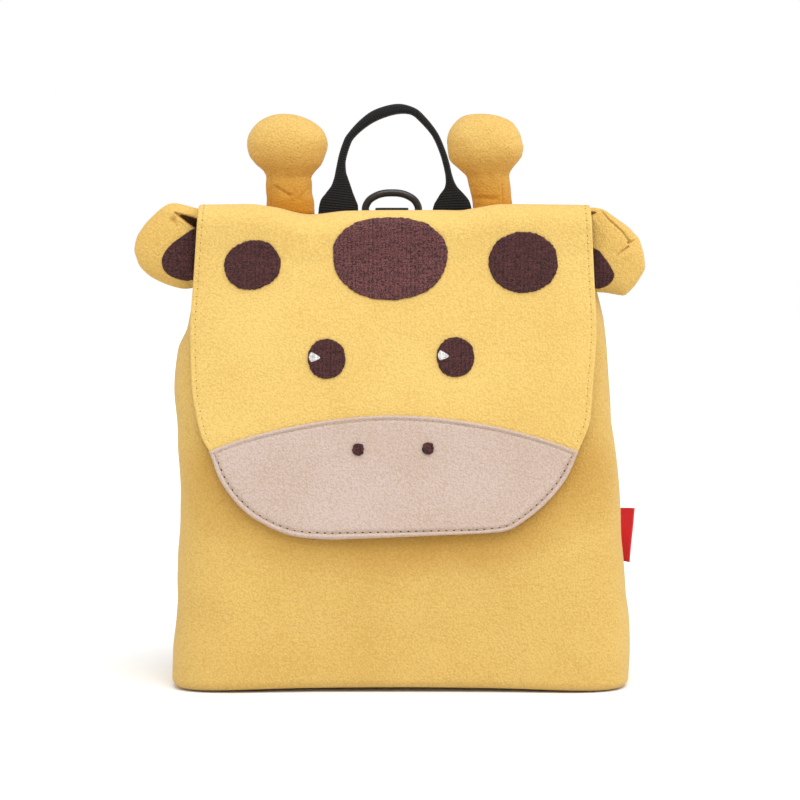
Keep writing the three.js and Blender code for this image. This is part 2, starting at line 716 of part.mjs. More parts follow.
function horn(side) {
  const name = side < 0 ? "left" : "right";
  const x = side < 0 ? HORN_LEFT_X : HORN_RIGHT_X;
  const y = ridgeFront + HORN_SETBACK;
  const foot = flapTop(x, y);
  const loops = HORN_SECTIONS.map((row, k) => ovalLoop(16, 2.2, (a, b) => {
    const place = new THREE.Vector3(
      x + (row[name] + (a * row.wide) / 2) * HORN_WIDTH,
      y + ((b * row.deep) / 2) * HORN_DEPTH,
      foot + row.up * HORN_HEIGHT,
    );
    if (k === 0) place.z = flapTop(place.x, place.y) - FLAP_THICKNESS / 2;
    return place;
  }));
  return cutBy(loft(loops), [flapPlate(FIT)]);
}

// Handle
function handleBand() {
  const x = RING_X + 2;
  const y = hemY + FIT + HANDLE_WEBBING_THICKNESS / 2;
  const line = new THREE.CatmullRomCurve3(HANDLE_LINE.map((row) => new THREE.Vector3(
    x + row.across * HANDLE_SPAN,
    y + row.grip * ((HANDLE_GRIP_DEPTH - HANDLE_WEBBING_THICKNESS) / 2 + FIT),
    hemFoot + row.up * HANDLE_RISE,
  )), false, "centripetal");
  const steps = 30;
  const gripAt = (share) => {
    const place = share * (HANDLE_LINE.length - 1);
    const i = Math.min(Math.floor(place), HANDLE_LINE.length - 2);
    return THREE.MathUtils.lerp(HANDLE_LINE[i].grip, HANDLE_LINE[i + 1].grip, place - i);
  };
  const shares = Array.from({ length: steps + 1 }, (unused, i) => i / steps);
  const path = shares.map((share) => line.getPoint(share));
  const sweepSide = new THREE.Vector3(0, 1, 0);
  return sweep(path, sweepSide, 10, 3, (i) => {
    const grip = gripAt(shares[i]);
    return {
      wide: THREE.MathUtils.lerp(HANDLE_WEBBING_THICKNESS, HANDLE_GRIP_DEPTH, grip),
      thick: THREE.MathUtils.lerp(HANDLE_WEBBING_WIDTH, HANDLE_GRIP_WIDTH, grip),
    };
  });
}

// Ring and its folded webbing tab; the ring's bar lies in the eye of the tab.
const keeperRadius = RING_WIRE / 2 + RING_PLAY + KEEPER_WEBBING;
const ringY = hemY + FIT + keeperRadius;
const ringZ = ridgeHeight - TOP_FALL - RING_WIRE / 2;

function ring() {
  const half = RING_WIDTH / 2;
  const outline = new THREE.Shape();
  outline.moveTo(-half * 0.75, 0);
  outline.lineTo(half * 0.75, 0);
  outline.quadraticCurveTo(half, 0, half, RING_RISE * 0.3);
  outline.bezierCurveTo(half, RING_RISE * 0.75, half * 0.55, RING_RISE, 0, RING_RISE);
  outline.bezierCurveTo(-half * 0.55, RING_RISE, -half, RING_RISE * 0.75, -half, RING_RISE * 0.3);
  outline.quadraticCurveTo(-half, 0, -half * 0.75, 0);
  const places = outline.getSpacedPoints(36).slice(0, 36);
  const sides = 8;
  const points = [];
  const triples = [];
  places.forEach((place, i) => {
    const before = places[(i + places.length - 1) % places.length];
    const after = places[(i + 1) % places.length];
    const outwards = new THREE.Vector2(after.y - before.y, before.x - after.x).normalize();
    for (let k = 0; k < sides; k += 1) {
      const angle = (k / sides) * Math.PI * 2;
      const off = (Math.cos(angle) * RING_WIRE) / 2;
      const y = ringY + (Math.sin(angle) * RING_WIRE) / 2;
      points.push(new THREE.Vector3(
        RING_X + place.x + outwards.x * off, y, ringZ + place.y + outwards.y * off,
      ));
      const here = i * sides;
      const next = ((i + 1) % places.length) * sides;
      const turn = (k + 1) % sides;
      triples.push([here + k, next + k, next + turn], [here + k, next + turn, here + turn]);
    }
  });
  return closedGeometry(points, triples);
}

function keeper() {
  const profile = new THREE.Shape();
  const tail = 2 * KEEPER_WEBBING;
  const lean = Math.acos((keeperRadius - tail) / keeperRadius);
  profile.moveTo(-keeperRadius, -KEEPER_TAIL);
  profile.lineTo(-keeperRadius + tail, -KEEPER_TAIL);
  profile.absarc(0, 0, keeperRadius, Math.PI + lean, Math.PI * 3, false);
  const eye = new THREE.Path();
  eye.absarc(0, 0, RING_WIRE / 2 + RING_PLAY, 0, Math.PI * 2, true);
  profile.holes.push(eye);
  const geometry = new THREE.ExtrudeGeometry(profile, {
    depth: KEEPER_WIDTH, bevelEnabled: false, curveSegments: 12,
  });
  geometry.translate(0, 0, -KEEPER_WIDTH / 2);
  geometry.applyMatrix4(new THREE.Matrix4().makeBasis(
    new THREE.Vector3(0, 1, 0), new THREE.Vector3(0, 0, 1), new THREE.Vector3(1, 0, 0),
  ));
  geometry.translate(RING_X, ringY, ringZ);
  geometry.deleteAttribute("normal");
  geometry.deleteAttribute("uv");
  return mergeVertices(geometry, 1e-4);
}

// Label in the right side seam
function label() {
  const middle = bodySection(LABEL_BASE_HEIGHT + LABEL_HEIGHT / 2);
  const wall = (z) => {
    const section = bodySection(z);
    return section.x + section.halfWidth;
  };
  const at = (face) => (i, j) => {
    const z = LABEL_BASE_HEIGHT + j * LABEL_HEIGHT;
    const out = FIT + i * LABEL_REACH * (0.4 + 0.6 * j);
    const y = middle.y - LABEL_REACH * 0.6 * i * i + (face * LABEL_THICKNESS) / 2;
    return new THREE.Vector3(wall(z) + out, y, z);
  };
  return plate(4, 4, at(-1), at(1));
}

// Back panel and straps
const panelTop = hemFoot - PANEL_HEM;

function panelFace(across, up, off) {
  const round = 1 - 0.1 * Math.abs(up * 2 - 1) ** 6;
  const z = THREE.MathUtils.lerp(PANEL_FOOT, panelTop, up);
  const x = across * (bodySection(z).halfWidth - PANEL_SIDE_MARGIN) * round;
  return new THREE.Vector3(x, bodyBack(x, z) + off, z);
}

function panelSwell(across, up) {
  const edge = Math.max(Math.abs(across), Math.abs(up * 2 - 1));
  return PANEL_THICKNESS * (1 - 0.6 * edge ** 8);
}

function backPanel() {
  const back = (i, j) => panelFace(i * 2 - 1, j, FIT);
  const face = (i, j) => panelFace(i * 2 - 1, j, FIT + panelSwell(i * 2 - 1, j));
  return plate(10, 11, face, back);
}

function strapPath(side) {
  const rootZ = panelTop - PANEL_THICKNESS;
  const rootY = bodyBack(0, rootZ) + FIT * 2 + PANEL_THICKNESS + STRAP_THICKNESS / 2;
  const line = new THREE.CatmullRomCurve3(STRAP_LINE.map((row) => new THREE.Vector3(
    side * (STRAP_TOP_X + row.splay * STRAP_SPLAY),
    rootY + row.bow * STRAP_BOW,
    rootZ - row.down * STRAP_DROP,
  )), false, "centripetal");
  return line;
}

function strap(side) {
  const line = strapPath(side);
  const steps = 14;
  const shares = Array.from({ length: steps + 1 }, (unused, i) => i / steps);
  const path = shares.map((share) => line.getPoint(share));
  return sweep(path, new THREE.Vector3(1, 0, 0), 12, 3.4, (i) => {
    const place = shares[i] * (STRAP_LINE.length - 1);
    const k = Math.min(Math.floor(place), STRAP_LINE.length - 2);
    const share = THREE.MathUtils.lerp(STRAP_LINE[k].wide, STRAP_LINE[k + 1].wide, place - k);
    return { wide: STRAP_WIDTH * share, thick: STRAP_THICKNESS };
  });
}

// Frame at the strap's lower end: place, direction down the strap and out of it.
function strapEnd(side) {
  const line = strapPath(side);
  const place = line.getPoint(1);
  const along = place.clone().sub(line.getPoint(0.96)).normalize();
  const through = new THREE.Vector3().crossVectors(along, new THREE.Vector3(1, 0, 0)).normalize();
  const across = new THREE.Vector3().crossVectors(through, along).normalize();
  return { place, along, through, across };
}

function adjuster(side) {
  const { place, along, through, across } = strapEnd(side);
  const half = ADJUSTER_WIDTH / 2;
  const frame = new THREE.Shape();
  frame.moveTo(-half, 0);
  frame.lineTo(half, 0);
  frame.lineTo(half * 0.92, ADJUSTER_LENGTH);
  frame.lineTo(-half * 0.92, ADJUSTER_LENGTH);
  const slotHalf = (WEBBING_WIDTH + 2) / 2;
  for (const share of [0.3, 0.7]) {
    const slot = new THREE.Path();
    const low = ADJUSTER_LENGTH * share - ADJUSTER_SLOT / 2;
    slot.moveTo(-slotHalf, low);
    slot.lineTo(-slotHalf, low + ADJUSTER_SLOT);
    slot.lineTo(slotHalf, low + ADJUSTER_SLOT);
    slot.lineTo(slotHalf, low);
    frame.holes.push(slot);
  }
  const geometry = new THREE.ExtrudeGeometry(frame, {
    depth: ADJUSTER_THICKNESS, bevelEnabled: false,
  });
  geometry.translate(0, FIT, -ADJUSTER_THICKNESS / 2);
  const basis = new THREE.Matrix4().makeBasis(across, along, across.clone().cross(along));
  geometry.applyMatrix4(basis);
  geometry.translate(place.x, place.y, place.z);
  geometry.deleteAttribute("normal");
  geometry.deleteAttribute("uv");
  return mergeVertices(geometry, 1e-4);
}

function webbing(side) {
  const { place, along } = strapEnd(side);
  const start = place.clone().addScaledVector(along, ADJUSTER_LENGTH + FIT * 2);
  const lead = start.clone().addScaledVector(along, WEBBING_THICKNESS * 2);
  const footX = side * WEBBING_FOOT_X;
  const foot = new THREE.Vector3(
    footX, bodyBack(footX, WEBBING_FOOT_HEIGHT) + FIT + WEBBING_THICKNESS / 2, WEBBING_FOOT_HEIGHT,
  );
  const first = start.clone().addScaledVector(along, ADJUSTER_LENGTH);
  const near = foot.clone().add(new THREE.Vector3(-side * 8, PANEL_THICKNESS, 22));
  const line = new THREE.CatmullRomCurve3([start, lead, first, near, foot], false, "centripetal");
  const steps = 12;
  const path = Array.from({ length: steps + 1 }, (unused, i) => line.getPoint(i / steps));
  const band = sweep(path, new THREE.Vector3(1, 0, 0), 8, 6, () => ({
    wide: WEBBING_WIDTH, thick: WEBBING_THICKNESS,
  }));
  return cutBy(band, [bodyBlock(FIT)]);
}

// Materials
function fabric(name, color, roughness) {
  return new THREE.MeshStandardMaterial({ name, color, roughness, metalness: 0 });
}

const suede = () => fabric("yellow_suede", 0xf2c778, 0.92);
const hornSuede = () => fabric("yellow_suede", 0xeebd69, 0.92);
const beigeSuede = () => fabric("beige_suede", 0xdcc2b4, 0.9);
const brownThread = () => fabric("brown_embroidery", 0x553338, 0.75);
const whiteThread = () => fabric("white_embroidery", 0xf4f1ee, 0.7);
const blackWebbing = () => fabric("black_webbing", 0x1f1f24, 0.8);
const blackPlastic = () => fabric("black_plastic", 0x17171a, 0.3);
const redCloth = () => fabric("red_label", 0xd42a20, 0.7);

const group = new THREE.Group();

function add(name, geometry, material) {
  const mesh = new THREE.Mesh(geometry, material);
  mesh.name = name;
  group.add(mesh);
}

add("bag_shell", bodyShell(), suede());
add("back_panel", backPanel(), suede());
add("flap", flapPlate(0), suede());
add("muzzle_panel", muzzlePanel(), beigeSuede());
for (const name of ["spot_centre", "spot_left", "spot_right", "eye_left", "eye_right"]) {
  add(name, disc(name, FIT), brownThread());
}
const onEye = FIT * 2 + EMBROIDERY_THICKNESS;
add("eye_highlight_left", highlight("eye_left", onEye), whiteThread());
add("eye_highlight_right", highlight("eye_right", onEye), whiteThread());
const onMuzzle = FIT * 2 + MUZZLE_THICKNESS;
add("nostril_left", disc("nostril_left", onMuzzle), brownThread());
add("nostril_right", disc("nostril_right", onMuzzle), brownThread());
for (const name of ["left", "right"]) {
  add("ear_" + name, ear(name), suede());
  add("ear_patch_" + name, earPatch(name), brownThread());
}
add("horn_left", horn(-1), hornSuede());
add("horn_right", horn(1), hornSuede());
add("handle", handleBand(), blackWebbing());
add("d_ring", ring(), blackPlastic());
add("d_ring_keeper", keeper(), blackWebbing());
add("side_label", label(), redCloth());
for (const [name, side] of [["left", -1], ["right", 1]]) {
  add("shoulder_strap_" + name, strap(side), suede());
  add("adjuster_" + name, adjuster(side), blackPlastic());
  add("strap_webbing_" + name, webbing(side), blackWebbing());
}

export default group;
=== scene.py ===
import json
import math

import bmesh
import bpy
import numpy as np
from mathutils import Matrix, Vector, noise


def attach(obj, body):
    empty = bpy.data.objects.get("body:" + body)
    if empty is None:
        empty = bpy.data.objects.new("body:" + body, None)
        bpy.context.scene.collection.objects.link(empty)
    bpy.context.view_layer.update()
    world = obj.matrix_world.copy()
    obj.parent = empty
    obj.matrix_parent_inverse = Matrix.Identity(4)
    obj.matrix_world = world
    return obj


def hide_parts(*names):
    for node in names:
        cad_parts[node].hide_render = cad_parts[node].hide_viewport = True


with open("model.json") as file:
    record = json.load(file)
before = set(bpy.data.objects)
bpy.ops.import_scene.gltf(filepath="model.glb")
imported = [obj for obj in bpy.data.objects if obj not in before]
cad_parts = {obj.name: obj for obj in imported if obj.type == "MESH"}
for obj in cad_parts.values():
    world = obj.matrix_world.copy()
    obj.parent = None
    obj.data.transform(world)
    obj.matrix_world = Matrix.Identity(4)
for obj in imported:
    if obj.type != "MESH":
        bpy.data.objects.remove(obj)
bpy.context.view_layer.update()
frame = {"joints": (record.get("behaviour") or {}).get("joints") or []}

bl_info = {
    "name": "Giraffe Backpack",
    "version": (1, 0, 0),
    "blender": (4, 5, 0),
    "location": "View3D > Sidebar > Backpack",
    "description": "Builds a small suede backpack with a giraffe face on its flap",
    "category": "Add Mesh",
}

MM = 0.001
RING = next(joint for joint in frame["joints"] if joint["name"] == "ring_swing")["pos_m"]


def rows_of(keys, *rows):
    """Rows with the same keys; a row may stop short of the last ones."""
    return [dict(zip(keys.split(), row)) for row in rows]


# Body sections from the top of the base rounding to the rim, as shares of the height,
# width and depth.
BODY_SECTIONS = rows_of(
    "up left right front back",
    (0, 0.491, 0.506, 0.515, 0.476),
    (0.063, 0.489, 0.509, 0.519, 0.476),
    (0.133, 0.481, 0.507, 0.519, 0.476),
    (0.242, 0.477, 0.497, 0.51, 0.471),
    (0.418, 0.469, 0.4865, 0.486, 0.466),
    (0.523, 0.4745, 0.476, 0.471, 0.461),
    (0.648, 0.481, 0.466, 0.452, 0.456),
    (0.727, 0.4745, 0.4605, 0.437, 0.452),
    (0.78, 0.4535, 0.4545, 0.427, 0.447),
    (0.875, 0.436, 0.434, 0.4, 0.438),
    (0.945, 0.417, 0.416, 0.38, 0.432),
    (1, 0.395, 0.395, 0.335, 0.39),
)

# Side edges of the flap from its lower edge to the ridge, as shares of its width.
FLAP_SIDES = rows_of(
    "up left right lift",
    (0, 0.165, 0.205, 1),
    (0.003, 0.213, 0.248, 0.98),
    (0.008, 0.245, 0.27, 0.94),
    (0.014, 0.268, 0.286, 0.9),
    (0.038, 0.319, 0.315, 0.7),
    (0.08, 0.375, 0.357, 0.45),
    (0.135, 0.418, 0.4, 0.25),
    (0.19, 0.446, 0.431, 0.1),
    (0.262, 0.468, 0.457, 0),
    (0.295, 0.485, 0.47, 0),
    (0.358, 0.5, 0.488, 0),
    (0.466, 0.514, 0.495, 0),
    (0.635, 0.518, 0.504, 0),
    (0.777, 0.51, 0.499, 0),
    (1, 0.497, 0.49, 0),
)

# Dips of the ridge: share of the half width against share of the deepest dip.
RIDGE_DIPS = rows_of(
    "across sag",
    (-1, 0.03),
    (-0.75, 0),
    (-0.62, 0.28),
    (-0.44, 1),
    (-0.25, 0.6),
    (0, 0.47),
    (0.22, 0.52),
    (0.33, 0.62),
    (0.41, 0.38),
    (0.54, 0.06),
    (1, 0.06),
)

# Embroidered discs: middle and half sizes in millimetres, up from the flap's lower edge.
DISCS = {
    "spot_centre": {"x": -3.4, "up": 159.7, "wide": 32.5, "high": 23.2, "power": 2.3,
                    "egg": 0.08},
    "spot_left": {"x": -82, "up": 156.5, "wide": 16.2, "high": 13.9, "tilt": 14},
    "spot_right": {"x": 72.7, "up": 158, "wide": 19.7, "high": 17.4},
    "eye_left": {"x": -39.6, "up": 103, "wide": 10.7, "high": 11.4},
    "eye_right": {"x": 33.9, "up": 104, "wide": 10.7, "high": 11.4},
    "nostril_left": {"x": -21.6, "up": 51.6, "wide": 3.4, "high": 3.5},
    "nostril_right": {"x": 18.2, "up": 52.2, "wide": 3.4, "high": 3.5},
}
# Tilt in degrees, squareness and how much wider the top is, where a disc gives no other.
PLAIN_DISC = {"tilt": 0, "power": 2.1, "egg": 0.0}
# Domes of a disc and of a wedge, from the middle out: share of the reach against the height.
DISC_DOME = (
    (0.12, 1.0), (0.3, 1.0), (0.5, 1.0), (0.7, 1.0), (0.84, 0.99), (0.93, 0.93), (0.975, 0.8),
    (1.0, 0.45), (1.0, -0.1),
)
WEDGE_DOME = ((0.15, 1.0), (0.5, 1.0), (0.8, 0.95), (0.95, 0.7), (1.0, 0.2), (1.0, -0.8))
# Height of a disc as a share of the embroidery's thickness.
DISC_RISE = 1.15
# White wedge on each eye, as shares of the eye's half sizes from its middle.
WEDGE = [(-0.94, 0.1), (-0.84, 0.3), (-0.72, 0.3), (-0.34, 0.05), (-0.7, -0.13), (-0.85, -0.12)]

# Ear outlines as shares of the reach and height, from the top of the root round the tip.
EAR_OUTLINES = {
    "left": [
        (-0.2, 0.4), (-0.067, 0.45), (0.067, 0.474), (0.2, 0.498), (0.332, 0.518),
        (0.453, 0.517), (0.549, 0.489), (0.645, 0.444), (0.766, 0.368), (0.888, 0.284),
        (0.984, 0.195), (1.044, 0.122), (1.08, 0.025), (1.086, -0.048), (1.056, -0.12),
        (1.008, -0.203), (0.948, -0.259), (0.828, -0.332), (0.705, -0.381), (0.549, -0.429),
        (0.38, -0.466), (0.224, -0.486), (0.091, -0.478), (-0.2, -0.42),
    ],
    "right": [
        (-0.2, 0.4), (-0.04, 0.465), (0.174, 0.452), (0.327, 0.391), (0.467, 0.325),
        (0.632, 0.244), (0.76, 0.154), (0.823, 0.106), (0.876, 0.008), (0.914, -0.091),
        (0.933, -0.205), (0.92, -0.27), (0.823, -0.384), (0.747, -0.457), (0.645, -0.53),
        (0.569, -0.564), (0.467, -0.559), (0.263, -0.535), (0.057, -0.518), (-0.2, -0.45),
    ],
}
PATCH_OUTLINES = {
    "left": [
        (0.048, 0.216), (0.14, 0.179), (0.26, 0.122), (0.38, 0.065), (0.477, 0.001),
        (0.549, -0.064), (0.592, -0.145), (0.58, -0.227), (0.537, -0.284), (0.453, -0.332),
        (0.332, -0.368), (0.188, -0.389), (0.091, -0.384), (-0.1, -0.33), (-0.1, 0.24),
    ],
    "right": [
        (-0.006, 0.0), (0.057, -0.016), (0.123, -0.041), (0.186, -0.099), (0.263, -0.164),
        (0.327, -0.237), (0.377, -0.302), (0.374, -0.351), (0.339, -0.4), (0.263, -0.449),
        (0.161, -0.478), (0.052, -0.481), (-0.08, -0.42), (-0.08, -0.05),
    ],
}
# Middle of each ear's stuffing, as shares of the reach and height.
EAR_MIDDLE = (0.4, 0.0)

# Folds of the ears' faces: from and to as shares of the reach and height, the half width
# and depth at both ends in millimetres, and how steep the walls are where it isn't 2. A
# negative depth stands out.
EAR_FOLDS = {
    "left": rows_of(
        "from to wide deep steep",
        ((0.349, 0.406), (0.0, 0.28), (0.6, 2.8), (1.6, 9.0), 5),
        ((0.392, 0.32), (0.344, 0.262), (1.7, 0.9), (2.4, 1.4)),
        ((0.27, 0.325), (0.08, 0.218), (1.1, 0.9), (-0.7, -1.3)),
        ((0.55, 0.44), (-0.03, 0.39), (2.0, 1.8), (-0.8, -1.2)),
    ),
    "right": rows_of(
        "from to wide deep steep",
        ((0.123, 0.456), (0.288, 0.325), (0.5, 0.5), (0.9, 1.3)),
        ((0.288, 0.325), (0.518, 0.187), (0.5, 0.5), (1.3, 1.3)),
        ((0.518, 0.187), (0.632, 0.081), (0.5, 0.6), (1.3, 1.6)),
        ((0.62, 0.055), (0.79, 0.1), (0.8, 0.45), (2.6, 0.5)),
        ((0.62, 0.01), (0.416, -0.091), (0.6, 0.5), (1.7, 0.8)),
        ((-0.06, 0.385), (0.05, 0.408), (1.7, 0.5), (5.0, 1.5), 3),
        ((0.2, 0.43), (0.64, 0.16), (1.5, 1.5), (-0.7, -0.7)),
        ((0.45, -0.14), (0.68, -0.04), (2.2, 2.2), (-0.6, -0.6)),
    ),
}

# Horn sections from the base up to the widest place of the knob and on to its top: shares
# of the height, width and depth, and the sideways shift as a share of the width.
HORN_SECTIONS = {
    "left": rows_of(
        "up wide deep shift",
        (0, 0.61, 0.64, 0.01),
        (0.09, 0.6, 0.63, 0.007),
        (0.2, 0.577, 0.61, -0.01),
        (0.33, 0.573, 0.61, -0.012),
        (0.407, 0.646, 0.69, 0),
        (0.49, 0.84, 0.86, -0.011),
        (0.572, 0.945, 0.96, -0.026),
        (0.69, 1, 1, -0.029),
        (0.82, 1, 1, -0.035),
        (1, 1, 1, -0.065),
    ),
    "right": rows_of(
        "up wide deep shift",
        (0, 0.51, 0.6, 0.06),
        (0.077, 0.506, 0.6, 0.056),
        (0.16, 0.51, 0.59, 0.04),
        (0.25, 0.517, 0.59, 0.023),
        (0.35, 0.545, 0.62, -0.002),
        (0.43, 0.66, 0.7, -0.032),
        (0.52, 0.846, 0.86, -0.044),
        (0.572, 0.91, 0.93, -0.036),
        (0.655, 0.945, 0.98, -0.034),
        (0.74, 0.945, 0.98, -0.05),
        (0.9, 0.945, 0.98, -0.052),
        (1, 0.945, 0.98, -0.1),
    ),
}
# Rounding of each knob: where it starts, as a share of the height, and its squareness.
HORN_TOPS = {"left": {"from": 0.69, "power": 2.0}, "right": {"from": 0.655, "power": 2.4}}

# Seams and creases on the fronts of the horns, laid out as those of the ears are.
HORN_FOLDS = {
    "left": rows_of(
        "from to wide deep",
        ((-0.237, -0.02), (-0.235, 0.38), (0.6, 0.6), (0.8, 0.5)),
        ((-0.188, 0.253), (0.007, 0.16), (0.7, 0.9), (1.1, 1.4)),
        ((0.129, 0.119), (0.227, 0.222), (1.1, 0.8), (1.0, 0.5)),
        ((-0.1, 0.1), (0.1, 0.24), (3.0, 3.0), (-0.5, -0.6)),
    ),
    "right": rows_of(
        "from to wide deep",
        ((-0.17, 0.13), (0.11, 0.124), (1.4, 1.3), (1.1, 0.9)),
        ((0.17, 0.34), (0.19, 0.02), (0.6, 0.6), (0.6, 0.8)),
    ),
}

# Middle line of the handle: shares of span and rise, how far it is rolled to a tube, and
# the width of the tube as a share of the grip's.
HANDLE_LINE = [
    (-0.505, 0, 0, 0.85), (-0.505, 0.12, 0, 0.85), (-0.503, 0.25, 0.04, 0.85),
    (-0.497, 0.316, 0.1, 0.85), (-0.488, 0.374, 0.35, 0.85), (-0.48, 0.433, 0.62, 0.85),
    (-0.48, 0.491, 0.8, 0.85), (-0.482, 0.55, 0.93, 0.85), (-0.471, 0.64, 1, 0.82),
    (-0.435, 0.74, 1, 0.8), (-0.393, 0.807, 1, 0.8), (-0.282, 0.898, 1, 0.97),
    (-0.156, 0.963, 1, 1.12), (0.016, 1.002, 1, 1.05), (0.154, 0.986, 1, 0.8),
    (0.247, 0.924, 1, 0.75), (0.352, 0.818, 1, 0.66), (0.419, 0.695, 1, 0.64),
    (0.452, 0.607, 1, 0.66), (0.468, 0.549, 1, 0.66), (0.482, 0.491, 0.96, 0.66),
    (0.493, 0.433, 0.82, 0.66), (0.499, 0.374, 0.44, 0.66), (0.504, 0.316, 0.15, 0.66),
    (0.505, 0.26, 0.06, 0.66), (0.505, 0.12, 0, 0.66), (0.505, 0, 0, 0.66),
]

# Shoulder strap from its seam down: shares of drop, bow, splay and width.
STRAP_LINE = [
    (0, 0, 0, 0.8), (0.06, 0.0, 0.02, 0.9), (0.16, 0.3, 0.08, 1), (0.3, 0.72, 0.25, 1),
    (0.48, 1, 0.5, 1), (0.68, 1, 0.75, 0.96), (0.86, 0.85, 0.93, 0.88), (1, 0.7, 1, 0.74),
]

BODY_POWER = 5
# Distances from an edge at which a sewn panel has its closest grid lines, in metres.
EDGE_STEPS = (
    0.0, 0.0001, 0.00035, 0.0007, 0.0012, 0.0018, 0.0023, 0.0027, 0.0031, 0.0035, 0.0040,
    0.0048, 0.0060,
)

# Creases at the sides of the body: height, slope, width and depth, in metres.
BODY_CREASES = [
    (0.045, 0.35, 0.010, 0.0007), (0.092, -0.25, 0.011, 0.0006), (0.150, 0.2, 0.010, 0.0008),
]

# Rolled lip of the body's mouth: shares of the wall's thickness inwards and up.
LIP = ((0.15, 0.42), (0.5, 0.6), (0.85, 0.42), (1.0, 0.0))
# Ring from the middle of its bar round: shares of the half width and of the rise.
RING_CORNERS = (
    (-0.75, 0), (-0.4, 0), (0, 0), (0.4, 0), (0.75, 0), (0.94, 0.06), (1, 0.22), (0.96, 0.44),
    (0.82, 0.69), (0.55, 0.89), (0.28, 0.98), (0, 1), (-0.28, 0.98), (-0.55, 0.89),
    (-0.82, 0.69), (-0.96, 0.44), (-1, 0.22), (-0.94, 0.06),
)
# Heights of the back panel's quilted seams, as shares of its height.
QUILTED_AT = (0.3, 0.5, 0.7)
# Where each bar of an adjuster starts and ends, as shares of its length.
ADJUSTER_BARS = ((0.0, 0.18), (0.42, 0.58), (0.82, 1.0))

# Heights between which the horns' painted shade fades from the darker colour at their feet to the
# knob's.
PAINTED_HORN_SHADE_HEIGHTS = (0.276, 0.327)
# Middle and half sizes, across and up, of the oval round whose foot the body's suede is
# painted darker as the shadow of the flap, and the heights between which that fades.
PAINTED_FLAP_SHADOW = ((0.0, 0.140), (0.108, 0.056), (0.130, 0.165))

WORLD_STRENGTH = 0.6
WORLD_TINT = (1.0, 0.99, 0.97, 1.0)
# Studio lights: name, direction of the light, spread in degrees and strength.
LIGHTS = [
    ("key", (0.22, -0.7, 1.3), 55.0, 2.45),
    ("fill", (-0.9, -1.0, 0.7), 70.0, 0.3),
    ("right", (1.3, -0.3, 0.4), 60.0, 1.4),
    ("left", (-1.3, -0.3, 0.4), 60.0, 0.7),
]
# Camera: the place it looks at, how far off it stands, both in metres, the degrees by which
# it looks down, and its lens in millimetres.
CAMERA = {"aim": (0.0023, -0.05, 0.1676), "away": 1.7, "lean": 3.5, "lens": 134.0}
FLOOR_REACH = 6.0
FLOOR_CORNERS = ((-1, -1), (1, -1), (1, 1), (-1, 1))


def length(name, description, default):
    return bpy.props.FloatProperty(
        name=name, description=description, default=default, subtype="DISTANCE", unit="LENGTH"
    )


def colour(name, description, default):
    return bpy.props.FloatVectorProperty(
        name=name, description=description, default=default, subtype="COLOR", size=3,
        min=0.0, max=1.0,
    )


